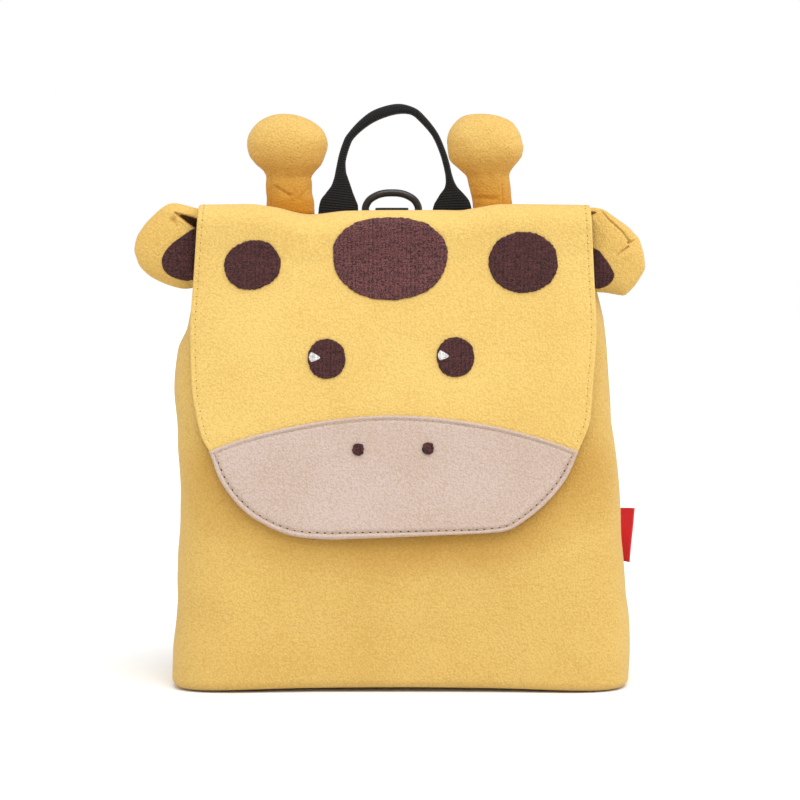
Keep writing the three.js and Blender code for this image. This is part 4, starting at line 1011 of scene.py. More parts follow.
    def muzzle_outline(self):
        """Outline of the muzzle laid flat, as that of the flap."""
        s = np.linspace(0, self.sizes.muzzle_side, 60)
        left, right, _ = self.flap_sides(s)
        bottom = np.linspace(left[0], right[0], 30)[1:-1]
        across = np.linspace(1, -1, 80)[1:-1]
        top = self.muzzle_top(across)
        far_left, far_right, _ = self.flap_sides(top)
        top_x = far_left + (far_right - far_left) * (across + 1) / 2
        return np.vstack([
            np.stack([left, s], axis=1)[::-1], np.stack([bottom, 0 * bottom], axis=1),
            np.stack([right, s], axis=1), np.stack([top_x, top], axis=1),
        ])

    def muzzle_stitch(self, s):
        """Inset of the muzzle's stitching, which runs closer to the edge at the arch."""
        size = self.sizes
        arch = smoothstep(s, size.muzzle_side * 0.8, size.muzzle_side)
        return size.stitch_inset * (1 - 0.25 * arch)

    def along_flap(self, x, up):
        """Distance along the flap at which its face is a height above the lower edge."""
        low = np.zeros_like(up + x)
        high = low + self.front_length + self.ridge_length * 0.97
        for _ in range(30):
            middle = (low + high) / 2
            below = self.flap_point(x, middle)[..., 2] < self.sizes.flap_edge_height + up
            low, high = np.where(below, middle, low), np.where(below, high, middle)
        return (low + high) / 2

    def flap_top(self, x, y):
        """Height of the flap's top at places on it."""
        s = self.top_start + (y - self.ridge_y - self.sizes.ridge_radius)
        return self.on_flap(x, s, 0.0)[..., 2]


def laid_out(context):
    """The backpack's surfaces and its sizes."""
    size = context.scene.bag_sizes
    return Form(size), size


def quads(columns, rows, closed=False, start=0):
    """Faces over rows of points, with the last column joined to the first where closed."""
    faces = []
    for j in range(rows - 1):
        here = start + j * columns
        for i in range(columns if closed else columns - 1):
            n = (i + 1) % columns
            faces.append((here + i, here + n, here + columns + n, here + columns + i))
    return faces


def capped(count, rows, start=0):
    """Faces over closed loops of points, with one face over each end."""
    last = start + (rows - 1) * count
    ends = [tuple(range(start, start + count)), tuple(range(last, last + count))]
    return quads(count, rows, closed=True, start=start) + ends


def made(name, points, faces, finish, slot, replaces=(), body="bag", lay=None, flat=()):
    """Make a piece from points and faces, with its finish, and let it ride on its body."""
    mesh = bpy.data.meshes.new(name)
    mesh.from_pydata([tuple(p) for p in np.asarray(points).reshape(-1, 3)], [], faces)
    if lay is not None:
        layer = mesh.uv_layers.new(name="UVMap")
        uv = np.asarray(lay).reshape(-1, 2)
        corners = np.empty(len(mesh.loops), int)
        mesh.loops.foreach_get("vertex_index", corners)
        layer.data.foreach_set("uv", uv[corners].ravel())
    tidy = bmesh.new()
    tidy.from_mesh(mesh)
    bmesh.ops.recalc_face_normals(tidy, faces=tidy.faces)
    tidy.to_mesh(mesh)
    tidy.free()
    for item in [finish] if isinstance(finish, str) else finish:
        mesh.materials.append(finish_named(item))
    for index, chosen in enumerate(flat):
        for face in chosen:
            mesh.polygons[face].material_index = index + 1
    return placed(mesh, replaces, body)


def placed(mesh, replaces=(), body="bag"):
    """Put a mesh into the scene under its own name and let it ride on its body."""
    mesh.shade_smooth()
    piece = bpy.data.objects.new(mesh.name, mesh)
    bpy.context.scene.collection.objects.link(piece)
    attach(piece, body)
    if replaces:
        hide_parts(*replaces)
    return piece


def slab(name, front, back, finish, slot, replaces=(), **more):
    """A closed piece between two grids of points whose borders meet."""
    rows, columns = front.shape[:2]
    faces = quads(columns, rows)
    faces += [tuple(reversed(face)) for face in quads(columns, rows, start=rows * columns)]
    border = [(0, i) for i in range(columns)] + [(j, columns - 1) for j in range(1, rows)]
    border += [(rows - 1, i) for i in range(columns - 2, -1, -1)]
    border += [(j, 0) for j in range(rows - 2, 0, -1)]
    ids = [j * columns + i for j, i in border]
    behind = rows * columns
    for a, b in zip(ids, ids[1:] + ids[:1]):
        faces.append((a, a + behind, b + behind, b))
    points = np.concatenate([front.reshape(-1, 3), back.reshape(-1, 3)])
    return made(name, points, faces, finish, slot, replaces, **more)


def lofted(name, loops, finish, slot, replaces=(), lay=None, **more):
    """A closed piece through loops of points, with a fan at each end."""
    rows, count = loops.shape[:2]
    points = np.concatenate([
        loops.reshape(-1, 3), loops[:1].mean(axis=1), loops[-1:].mean(axis=1),
    ])
    faces = quads(count, rows, closed=True)
    for i in range(count):
        n = (i + 1) % count
        faces.append((rows * count, n, i))
        faces.append((rows * count + 1, (rows - 1) * count + i, (rows - 1) * count + n))
    if lay is not None:
        ends = [lay[:1].mean(axis=1), lay[-1:].mean(axis=1)]
        lay = np.concatenate([lay.reshape(-1, 2), *ends])
    return made(name, points, faces, finish, slot, replaces, lay=lay, **more)


def oval(count, power):
    """Points round an oval whose corners grow squarer with the power."""
    angle = (np.arange(count) + 0.5) / count * math.tau
    c, s = np.cos(angle), np.sin(angle)
    return np.stack([
        np.sign(c) * np.abs(c) ** (2 / power), np.sign(s) * np.abs(s) ** (2 / power),
    ], axis=1)


def band(path, side, wide, thick, count=24, power=4.0):
    """Loops of a band along a path, with their places across and along it in metres."""
    along = unit(np.gradient(path, axis=0))
    through = unit(np.cross(along, side))
    across = np.cross(through, along)
    ring = oval(count, power)
    wide = np.broadcast_to(wide, len(path))[:, None, None]
    thick = np.broadcast_to(thick, len(path))[:, None, None]
    loops = path[:, None] + across[:, None] * ring[None, :, :1] * wide / 2
    loops = loops + through[:, None] * ring[None, :, 1:] * thick / 2
    run = np.broadcast_to(reach_along(path)[:, None], loops.shape[:2])
    spread = ring[None, :, 0] * wide[..., 0] / 2
    return loops, np.stack([spread, run], axis=2)


def stitch_holes(name, form, path, off, radius, finish, slot):
    """Small dark discs, painted as the shade in the needle holes, where one stitch ends and the
    next begins.
    """
    middles = resampled(path, int(reach_along(path)[-1] / form.sizes.stitch_spacing) + 1)
    count, dome = 10, ((1.0, -0.0003), (0.8, 0.0001), (0.3, 0.0002))
    turn = around(count)
    ring = np.stack([np.cos(turn), np.sin(turn)], axis=1)
    points = []
    for share, rise in dome:
        places = middles[:, None] + ring * radius * share
        points.append(form.on_flap(places[..., 0], places[..., 1], off + rise))
    faces = []
    for k in range(len(middles)):
        faces += capped(count, len(dome), start=k * count * len(dome))
    return made(name, np.stack(points, axis=1), faces, finish, slot)


def stitches(name, form, path, off, finish, slot):
    """Short threads along a path over the flap; their ends dive into the cloth."""
    size = form.sizes
    count = int(reach_along(path)[-1] / size.stitch_spacing)
    fine = resampled(path, count * 8 + 1)
    rows, sides = 7, 6
    stations = np.linspace(-1, 1, rows)
    angle = around(sides)[None, :, None]
    points = []
    for k in range(count):
        middle = fine[k * 8 + 4]
        run = unit(fine[min(k * 8 + 5, count * 8)] - fine[k * 8 + 3])
        places = middle + run * stations[:, None] * size.stitch_length / 2
        rise = off + 0.0003 * (1 - 1.9 * stations**4)
        base = form.on_flap(places[:, 0], places[:, 1], rise)
        along = unit(np.gradient(base, axis=0))
        out = form.flap_normal(places[:, 0], places[:, 1])
        beside = np.cross(along, out)
        radius = size.stitch_thread / 2 * np.sqrt(np.maximum(1 - stations**6, 0.05))
        ring = beside[:, None] * np.cos(angle) + out[:, None] * np.sin(angle)
        points.append(base[:, None] + ring * radius[:, None, None])
    faces = []
    for k in range(count):
        faces += capped(sides, rows, start=k * sides * rows)
    return made(name, points, faces, finish, slot)


class BAG_OT_body(bpy.types.Operator):
    """Make the body: a soft shell with a rounded base, a lining and an open mouth"""

    bl_idname = "backpack.body"
    bl_label = "Body"
    bl_options = {"REGISTER", "UNDO"}

    def execute(self, context):
        form, size = laid_out(context)
        ring = self.ring(size, 300)
        height, wall, rounding = size.body_height, size.body_wall, size.base_rounding
        turn = np.linspace(0, math.pi / 2, 9)
        side = np.linspace(rounding, height, 104)[1:]
        heights = np.concatenate([rounding * (1 - np.cos(turn)), side])
        drawn_in = np.concatenate([rounding * (1 - np.sin(turn)), 0 * side])
        outer = self.shaped(size, self.loops(form, ring, heights, drawn_in), drawn_in)
        base, rim = outer[:1], outer[-1:]
        middle = base.mean(axis=1, keepdims=True)
        shares = (0.1, 0.4, 0.7, 0.9)
        floor = np.concatenate([middle + (base - middle) * share for share in shares])
        floor[..., 2] += 0.0006
        towards = unit((rim.mean(axis=1, keepdims=True) - rim) * np.array([1, 1, 0]))
        lip = [rim + towards * wall * a + np.array([0, 0, wall * b]) for a, b in LIP]
        down = np.linspace(height * 0.97, wall + rounding, 40)
        inner = self.loops(form, ring, down, np.full_like(down, wall))
        inner += self.inwards(inner) * (0.0012 * (1 + dents(inner, 0.045, 7.0)))[..., None]
        under = self.loops(form, ring, np.array([wall * 1.6, wall]), np.array([0.004, 0.012]))
        loops = np.concatenate([floor, outer, *lip, inner, under])
        first = len(floor) + len(outer) + len(lip) - 1
        lining = range(first * len(ring), (len(loops) - 1) * len(ring))
        lofted(
            "body_shell", loops, ("suede_body", "lining"), "yellow_suede", ("bag_shell",),
            flat=[lining],
        )
        self.seams(size, outer)
        return {"FINISHED"}

    @staticmethod
    def ring(size, count):
        """Points evenly spaced round a section whose half sizes are 1."""
        half = np.array([size.body_width, size.body_depth]) / 2
        return resampled(oval(8000, BODY_POWER) * half, count, closed=True) / half

    @staticmethod
    def loops(form, ring, heights, drawn_in):
        """The ring at each height, drawn in from the body's outside by a distance."""
        x, y, half_width, half_depth = (
            v[:, None] for v in form.section(np.maximum(heights, form.sizes.base_rounding))
        )
        shift = drawn_in[:, None]
        across = x + ring[None, :, 0] * (half_width - shift)
        deep = y + ring[None, :, 1] * (half_depth - shift)
        return np.stack([across, deep, heights[:, None] + 0 * across], axis=2)

    @staticmethod
    def inwards(loops):
        """Level directions from the loops' points into the body."""
        along = np.roll(loops, -1, axis=1) - np.roll(loops, 1, axis=1)
        return unit(np.stack([-along[..., 1], along[..., 0], 0 * along[..., 0]], axis=2))

    def shaped(self, size, loops, drawn_in):
        """Draw dents and creases into the cloth, stuff its lower front and lift its base."""
        x, y, z = loops[..., 0], loops[..., 1], loops[..., 2]
        held = 1 - smoothstep(drawn_in[:, None] / size.base_rounding, 0.2, 1.0)
        wide = dents(loops, 0.085, 3.0)
        small = dents(loops, 0.034, 11.0)
        depth = 0.0011 * wide + 0.0004 * small + 0.0004
        side = np.abs(x) / (size.body_width / 2)
        creases = np.zeros_like(x)
        for place, lean, width, deep in BODY_CREASES:
            line = z - place - lean * (np.abs(x) - size.body_width * 0.42)
            creases += deep * hump(line, 0.0, width) * smoothstep(side, 0.55, 0.95)
        moved = loops + self.inwards(loops) * ((depth + creases) * held)[..., None]
        low = (1 - smoothstep(z, -0.02, 0.15)) ** 1.3
        ahead = smoothstep(-y, 0.0, size.body_depth / 2)
        spread = size.front_spread + size.corner_spread * hump(side, 0.88, 0.3)
        moved[..., 1] -= spread * low * ahead
        arch = (1 - smoothstep(z, 0.0, 0.03)) * (1 - side**2).clip(0, 1)
        moved[..., 2] += size.base_rise * arch
        return moved

    def seams(self, size, outer):
        """Raised seams down the sides, where the front and back meet."""
        for name, column in (("left", outer.shape[1] // 2), ("right", 0)):
            path = outer[6:, column] - self.inwards(outer)[6:, column] * 0.0002
            loops, lay = band(
                path, (0.0, 1.0, 0.0), size.seam_width, size.seam_thickness, 14, 2.2
            )
            lofted("side_seam_" + name, loops, "suede_body", "yellow_suede", lay=lay)


class BAG_OT_flap(bpy.types.Operator):
    """Make the flap, the muzzle panel and the stitching round both"""

    bl_idname = "backpack.flap"
    bl_label = "Flap and muzzle"
    bl_options = {"REGISTER", "UNDO"}

    def execute(self, context):
        form, size = laid_out(context)
        share, shift = places_between(EDGE_STEPS, 84)
        # Rows from the lower edge up: closest at both ends, and close by the muzzle's corners.
        fine = np.arange(0.0072, 0.040, 0.0011)
        front = np.linspace(0.0415, form.front_length, 72)
        ridge = np.linspace(form.front_length, form.top_start, 12)[1:]
        top = np.linspace(form.top_start, form.turn_start, 34)[1:]
        back = np.linspace(form.turn_start, form.flap_length - 0.0066, 16)[1:]
        foot = form.flap_length - np.array(EDGE_STEPS[::-1])
        rows = np.concatenate([EDGE_STEPS, fine, front, ridge, top, back, foot])
        left, right, _ = form.flap_sides(rows[:, None])
        x = left * (1 - share) + right * share + shift
        s = np.broadcast_to(rows[:, None], x.shape)
        gap = distances(np.stack([x, s], axis=2), form.flap_outline())
        full = eased(gap / (size.flap_thickness / 2))
        groove = 0.0003 * hump(gap, size.stitch_inset, 0.0010) * (s > size.muzzle_side * 0.9)
        pad = size.flap_thickness / 2
        face = form.on_flap(x, s, -pad + pad * full - groove)
        rear = form.on_flap(x, s, -pad - pad * full)
        cloth = slab("flap_cloth", face, rear, "suede_flap", "yellow_suede", ("flap",))
        spread = float(np.trapz((right - left)[:, 0], rows))
        float((right - left).max())
        self.edge_stitches(form, size)
        self.muzzle(form, size)
        return {"FINISHED"}

    def edge_stitches(self, form, size):
        """Stitches and their holes down both sides, from the ridge to the muzzle."""
        s = np.linspace(size.muzzle_side + 0.006, form.top_start + 0.02, 300)
        left, right, _ = form.flap_sides(s)
        for name, x in (("left", left + size.stitch_inset), ("right", right - size.stitch_inset)):
            path = np.stack([x, s], axis=1)
            stitches(
                "flap_stitching_" + name, form, path, -0.0008, "stitch_yellow", "yellow_suede"
            )
            stitch_holes(
                "flap_holes_" + name, form, path, -0.0004, size.flap_hole, "edge_hole",
                "yellow_suede",
            )

    def muzzle(self, form, size):
        """The panel over the flap's lower end, and the stitches round it."""
        share, shift = places_between(EDGE_STEPS, 84)
        up, lift = places_between(EDGE_STEPS, 52)
        across = ((2 * share - 1) * size.flap_width + 2 * shift) / size.flap_width
        s = form.muzzle_top(across)[None, :] * up[:, None] ** 1.25 + lift[:, None]
        left, right, _ = form.flap_sides(s)
        x = left * (1 - share) + right * share + shift
        outline = form.muzzle_outline()
        gap = distances(np.stack([x, s], axis=2), outline)
        thick = size.muzzle_thickness
        full = eased(gap / (thick * 0.9))
        rim = 0.0005 * hump(gap, 0.0013, 0.0013)
        groove = 0.0009 * hump(gap, form.muzzle_stitch(s), 0.0009)
        face = form.on_flap(x, s, 0.0001 + thick * full + rim * full - groove)
        rear = form.on_flap(x, s, np.full_like(x, 0.00005))
        slab("muzzle_cloth", face, rear, "suede_beige", "beige_suede", ("muzzle_panel",))
        edge = resampled(outline, 700, closed=True)
        path = inset(edge, form.muzzle_stitch(edge[:, 1]))
        path = np.vstack([path, path[:1]])
        sunk = thick - 0.0007
        stitches("muzzle_stitching", form, path, sunk, "stitch_beige", "beige_suede")
        stitch_holes(
            "muzzle_holes", form, path, sunk, size.muzzle_hole, "stitch_hole", "beige_suede"
        )


class BAG_OT_face(bpy.types.Operator):
    """Make the embroidered spots, eyes, lights in the eyes and nostrils"""

    bl_idname = "backpack.face"
    bl_label = "Embroidery"
    bl_options = {"REGISTER", "UNDO"}

    def execute(self, context):
        form, size = laid_out(context)
        for name in DISCS:
            over = size.muzzle_thickness if name.startswith("nostril") else 0.0
            self.disc(form, size, name, over)
        for side in ("left", "right"):
            self.wedge(form, size, side)
        return {"FINISHED"}

    def disc(self, form, size, name, over):
        """A padded disc of thread with a ragged edge, a height over the flap's face."""
        disc = {**PLAIN_DISC, **DISCS[name]}
        count = 220 if disc["wide"] > 15 else 120
        angle = around(count)
        turn = math.radians(disc["tilt"])
        power = 2 / disc["power"]
        a = np.sign(np.cos(angle)) * np.abs(np.cos(angle)) ** power
        b = np.sign(np.sin(angle)) * np.abs(np.sin(angle)) ** power
        a = a * (1 + disc["egg"] * b)
        rows, lift = np.array(DISC_DOME).T
        thick = size.embroidery * DISC_RISE
        wide, high = disc["wide"] * MM, disc["high"] * MM
        edge = np.stack([a * wide, b * high], axis=1)
        ragged = 0.0005 * dents(np.pad(edge, ((0, 0), (0, 1))), 0.0016, 5.0)
        ragged += 0.00035 * dents(np.pad(edge, ((0, 0), (0, 1))), 0.006, 9.0)
        out = unit(edge)
        rows = rows[:, None, None]
        flat = rows * edge + rows**8 * out * ragged[:, None]
        x = disc["x"] * MM + flat[..., 0] * math.cos(turn) - flat[..., 1] * math.sin(turn)
        up = disc["up"] * MM + flat[..., 0] * math.sin(turn) + flat[..., 1] * math.cos(turn)
        ripple = 0.00012 * dents(np.stack([x, up, 0 * x], axis=2), 0.0035, 2.0)
        height = over + 0.0001 + thick * lift[:, None] + ripple
        points = form.on_flap(x, form.along_flap(x, up), height)
        middle_x, middle_up = np.array([disc["x"] * MM]), np.array([disc["up"] * MM])
        top = form.on_flap(middle_x, form.along_flap(middle_x, middle_up), over + thick)
        all_points = np.concatenate([top, points.reshape(-1, 3)])
        faces = quads(count, len(rows), closed=True, start=1)
        faces += [(0, 1 + i, 1 + (i + 1) % count) for i in range(count)]
        first = 1 + (len(rows) - 1) * count
        faces.append(tuple(range(first, first + count)))
        finish = "thread_brown" if name == "spot_centre" else "thread_dark"
        made(name + "_thread", all_points, faces, finish, "brown_embroidery", (name,))

    def wedge(self, form, size, side):
        """The light in an eye."""
        disc = DISCS["eye_" + side]
        outline = rounded(np.array(WEDGE) * np.array([disc["wide"], disc["high"]]) * MM, True, 8)
        outline = resampled(outline, 48, closed=True)
        middle = outline.mean(axis=0)
        rows, lift = np.array(WEDGE_DOME).T
        flat = middle + (outline - middle) * rows[:, None, None]
        x, up = disc["x"] * MM + flat[..., 0], disc["up"] * MM + flat[..., 1]
        height = size.embroidery * 1.1 + 0.0007 * lift[:, None] + 0 * x
        points = form.on_flap(x, form.along_flap(x, up), height)
        made(
            "eye_light_" + side, points, capped(len(outline), len(rows)), "thread_white",
            "white_embroidery", ("eye_highlight_" + side,),
        )


class BAG_OT_ears(bpy.types.Operator):
    """Make the stuffed ears with their embroidered patches"""

    bl_idname = "backpack.ears"
    bl_label = "Ears"
    bl_options = {"REGISTER", "UNDO"}

    def execute(self, context):
        form, size = laid_out(context)
        for name, side in (("left", -1), ("right", 1)):
            ear = self.ear(form, size, name, side)
            self.patch(form, size, name, side)
        return {"FINISHED"}

    def middle(self, form, size, side):
        """Place of the middle of an ear's stuffing."""
        s = form.front_length - size.ear_height * 0.25
        left, right, _ = form.flap_sides(s)
        y, z, _, _ = form.flap_line(s)
        out, up = EAR_MIDDLE
        x = float(left if side < 0 else right) + side * out * size.ear_reach
        y = float(y) + size.flap_thickness + size.ear_setback
        return np.array([x, y, float(z) + up * size.ear_height])

    def rim(self, size, name, count=280):
        """Outline of an ear round its middle."""
        places = (np.array(EAR_OUTLINES[name]) - EAR_MIDDLE) * (size.ear_reach, size.ear_height)
        return resampled(rounded(places, True), count, closed=True)

    def swell(self, size, share):
        """Half the thickness of an ear at a share of the way from its middle to its rim."""
        return size.ear_thickness / 2 * np.sqrt(np.maximum(1 - share**2.6, 0.0))

    def front(self, size, name, x, z):
        """How far the ear's face stands in front of its middle, with its folds."""
        rim = self.rim(size, name)
        order = np.argsort(np.arctan2(rim[:, 1], rim[:, 0]))
        angles = np.arctan2(rim[order, 1], rim[order, 0])
        reach = np.linalg.norm(rim[order], axis=1)
        edge = np.interp(np.arctan2(z, x), angles, reach, period=math.tau)
        share = np.minimum(np.hypot(x, z) / edge, 1.0)
        swell = self.swell(size, share)
        folds = np.minimum(self.folds(size, name, x, z), swell * 1.4)
        return swell - folds * smoothstep(1 - share, 0.0, 0.08)

    def folds(self, size, name, x, z):
        """Depth of the folds in an ear's face at places round its middle."""
        out, up = EAR_MIDDLE
        from_root, height = x + out * size.ear_reach, z + up * size.ear_height
        return grooves(EAR_FOLDS[name], from_root, height, size.ear_reach, size.ear_height)

    def ear(self, form, size, name, side):
        """A stuffed ear; where its face is folded deepest its cloth is painted dark as shade."""
        rim = self.rim(size, name)
        middle = self.middle(form, size, side)
        near = np.sin(np.linspace(0.02, 1, 84) * math.pi / 2)
        far = np.sin(np.linspace(1, 0.05, 26) * math.pi / 2)[1:]
        flat, hind = rim[None] * near[:, None, None], rim[None] * far[:, None, None]
        face = self.front(size, name, flat[..., 0], flat[..., 1])
        rear = self.swell(size, far)[:, None] + 0 * hind[..., 0]
        places = np.concatenate([flat, hind])
        deep = np.concatenate([-face, rear])
        loops = middle + np.stack([side * places[..., 0], deep, places[..., 1]], axis=2)
        depth = self.folds(size, name, flat[..., 0], flat[..., 1])
        # Faces folded deeper than the ear opening get the painted shade.
        shaded = [
            j * len(rim) + i for j, i in np.argwhere(depth > size.ear_opening)
            if j < len(near) - 1
        ]
        return lofted(
            "ear_cloth_" + name, loops, ("suede_ear", "ear_shade"), "yellow_suede",
            ("ear_" + name,), flat=[shaded],
        )

    def patch(self, form, size, name, side):
        """The embroidered patch on an ear's face."""
        middle = self.middle(form, size, side)
        places = (np.array(PATCH_OUTLINES[name]) - EAR_MIDDLE) * (size.ear_reach, size.ear_height)
        outline = resampled(rounded(places, True), 200, closed=True)
        centre = outline.mean(axis=0)
        level = np.linspace(0.06, 0.9, 30)
        rows = np.concatenate([level, [0.95, 0.98, 1.0, 1.0]])
        lift = np.concatenate([0 * level + 1, [0.9, 0.6, 0.2, -0.6]])
        flat = centre + (outline - centre) * rows[:, None, None]
        face = self.front(size, name, flat[..., 0], flat[..., 1])
        deep = -face - size.embroidery * lift[:, None]
        points = middle + np.stack([side * flat[..., 0], deep, flat[..., 1]], axis=2)
        made(
            "ear_patch_thread_" + name, points, capped(len(outline), len(rows)), "thread_dark",
            "brown_embroidery", ("ear_patch_" + name,),
        )


class BAG_OT_horns(bpy.types.Operator):
    """Make the two stuffed horns on top of the flap"""

    bl_idname = "backpack.horns"
    bl_label = "Horns"
    bl_options = {"REGISTER", "UNDO"}

    def execute(self, context):
        form, size = laid_out(context)
        y = form.ridge_y + size.horn_setback
        places = (("left", size.horn_left), ("right", size.horn_right))
        foot = min(float(form.flap_top(np.array(x), np.array(y))) for _, x in places)
        for name, x in places:
            table, dome = curves(HORN_SECTIONS[name], "up"), HORN_TOPS[name]
            stem = np.linspace(0, dome["from"], 80, endpoint=False)
            turn = np.linspace(0, math.pi / 2, 60)
            up = np.concatenate([stem, dome["from"] + (1 - dome["from"]) * np.sin(turn)])
            share = np.maximum(up - dome["from"], 0) / (1 - dome["from"])
            closing = np.maximum(1 - share ** dome["power"], 0.0) ** (1 / dome["power"])
            closing = np.maximum(closing, 0.01)
            ring = oval(180, 2.2)
            wide = (table["wide"](up) * closing)[:, None] * size.horn_width / 2
            deep = (table["deep"](up) * closing)[:, None] * size.horn_depth / 2
            px = x + table["shift"](up)[:, None] * size.horn_width + ring[None, :, 0] * wide
            py = y + ring[None, :, 1] * deep + 0 * px
            pz = foot + up[:, None] * size.horn_height + 0 * px
            sunk = form.flap_top(px, py) - 0.0008
            pz = np.where(up[:, None] < 0.1, np.maximum(pz, sunk), pz)
            pz[0] = sunk[0]
            loops = self.folded(size, np.stack([px, py, pz], axis=2), (x, y, foot), name)
            horn = lofted(
                "horn_cloth_" + name, loops, "suede_horn", "yellow_suede", ("horn_" + name,)
            )
        return {"FINISHED"}

    def folded(self, size, loops, place, name):
        """Draw the seams, creases and soft hollows into a horn."""
        across, deep, rise = (loops[..., i] - place[i] for i in range(3))
        up = rise / size.horn_height
        out = unit(np.stack([across, deep, 0 * across], axis=2))
        front = smoothstep(-out[..., 1], -0.2, 0.3)
        depth = 0.0004 * (1 + dents(loops, 0.016, 4.0)) + 0.0003 * dents(loops, 0.007, 8.0)
        folds = grooves(HORN_FOLDS[name], across, rise, size.horn_width, size.horn_height)
        neck = 0.0005 * hump(up, 0.36, 0.05)
        gathers = 1 + 0.8 * np.sin(np.arctan2(out[..., 1], out[..., 0]) * 7)
        depth = depth + folds * front + neck * gathers
        top = smoothstep(1 - up, 0.0, 0.05)
        return loops - out * (depth * top)[..., None]


class BAG_OT_handle(bpy.types.Operator):
    """Make the carrying handle of rolled webbing"""

    bl_idname = "backpack.handle"
    bl_label = "Handle"
    bl_options = {"REGISTER", "UNDO"}

    def execute(self, context):
        form, size = laid_out(context)
        table = np.array(HANDLE_LINE)
        roll = (size.grip_depth - size.handle_flat) / 2 + size.fit
        line = np.stack([
            RING[0] + 0.002 + table[:, 0] * size.handle_span,
            form.hem_y + size.fit + size.handle_flat / 2 + table[:, 2] * roll,
            form.hem_foot + table[:, 1] * size.handle_rise,
        ], axis=1)
        path = rounded(line, False, 12)
        stations, run = np.arange(len(table)), np.linspace(0, len(table) - 1, len(path))
        grip = Curve(stations, table[:, 2])(run)
        deep = size.handle_flat + (size.grip_depth - size.handle_flat) * grip
        tube = size.grip_width * Curve(stations, table[:, 3])(run)
        wide = size.handle_webbing + (tube - size.handle_webbing) * grip
        loops, lay = band(path, (0.0, 1.0, 0.0), deep, wide, 40, 3.0)
        lay[..., 0] = np.linspace(0, size.handle_webbing * 2, 40)[None]
        lofted(
            "handle_webbing", loops, "webbing_black", "black_webbing", ("handle",), lay=lay
        )
        return {"FINISHED"}


class BAG_OT_ring(bpy.types.Operator):
    """Make the D-shaped ring and the folded webbing that holds it"""

    bl_idname = "backpack.ring"
    bl_label = "Ring and keeper"
    bl_options = {"REGISTER", "UNDO"}

    def execute(self, context):
        size = context.scene.bag_sizes
        half, rise = size.ring_width / 2, size.ring_rise
        stations, sides = 120, 20
        corners = np.array(RING_CORNERS) * (half, rise)
        flat = resampled(rounded(corners, True), stations, closed=True)
        along = unit(np.roll(flat, -1, axis=0) - np.roll(flat, 1, axis=0))
        out = np.stack([along[:, 1], 0 * along[:, 0], -along[:, 0]], axis=1)
        x, z = flat.T
        middle = np.stack([RING[0] + x, 0 * x + RING[1], RING[2] + z], axis=1)
        turn = around(sides)[None, :, None]
        round_wire = out[:, None] * np.cos(turn) + np.array([0.0, 1.0, 0.0]) * np.sin(turn)
        loops = middle[:, None] + size.ring_wire / 2 * round_wire
        points = stations * sides
        faces = [
            tuple(v % points for v in face) for face in quads(sides, stations + 1, closed=True)
        ]
        made("ring_wire", loops, faces, "plastic_black", "black_plastic", ("d_ring",), body="ring")
        self.keeper(size)
        return {"FINISHED"}

    def keeper(self, size):
        """Webbing that is folded round the ring's bar, with both its ends below it."""
        eye = size.ring_wire / 2 + size.ring_play + size.keeper_webbing / 2
        foot = RING[2] - size.keeper_drop
        wrap = np.linspace(math.pi, -math.pi * 0.82, 40)
        y, z = RING[1] + eye * np.cos(wrap), RING[2] + eye * np.sin(wrap)
        front = np.linspace(foot, RING[2], 14)[:-1]
        lap = RING[1] - eye + size.keeper_webbing
        tail = np.linspace(z[-1], foot, 12)[1:]
        y = np.concatenate([0 * front + RING[1] - eye, y, 0 * tail + lap])
        z = np.concatenate([front, z, tail])
        path = resampled(np.stack([0 * y + RING[0], y, z], axis=1), 90)
        loops, lay = band(
            path, (1.0, 0.0, 0.0), size.keeper_width, size.keeper_webbing * 0.94, power=7.0
        )
        lofted(
            "ring_keeper", loops, "webbing_black", "black_webbing", ("d_ring_keeper",), lay=lay
        )


class BAG_OT_tab(bpy.types.Operator):
    """Make the plain red tab in the right side seam"""

    bl_idname = "backpack.tab"
    bl_label = "Side tab"
    bl_options = {"REGISTER", "UNDO"}

    def execute(self, context):
        form, size = laid_out(context)
        middle = size.label_base + size.label_height / 2
        y = float(form.section(np.array(middle))[1])
        z = np.linspace(size.label_base, size.label_base + size.label_height, 34)
        x, _, half, _ = form.section(z)
        wall = x + half - size.label_root
        up = (z - size.label_base) / size.label_height
        reach = size.fit + size.label_root + size.label_reach * (0.4 + 0.6 * up)
        run = np.linspace(0, 1, 16)
        gap = size.label_thickness / 2
        turn = np.linspace(-math.pi / 2, math.pi / 2, 9)[1:-1]
        share = np.concatenate([run, 1 + 0 * turn, run[::-1]])
        side = np.concatenate([-1 + 0 * run, np.sin(turn), 1 + 0 * run])
        nose = np.concatenate([0 * run, np.cos(turn), 0 * run]) * gap
        bow = -size.label_reach * 0.6 * share**2
        px = wall[:, None] + reach[:, None] * share[None] + nose[None]
        py = y + bow[None] + side[None] * gap * (1 - 0.25 * share[None]) + 0 * px
        py = py + 0.0005 * np.sin(z[:, None] * 260) * share[None]
        pz = z[:, None] + 0.0008 * share[None] * (up[:, None] - 0.5) + 0 * px
        outer = np.stack([px, py, pz], axis=2)
        inner = outer.copy()
        inner[..., 0] -= size.label_cloth * nose / gap
        inner[..., 1] -= size.label_cloth * side[None]
        slab("side_tab", outer, inner, "tab_red", "red_label", ("side_label",))
        return {"FINISHED"}


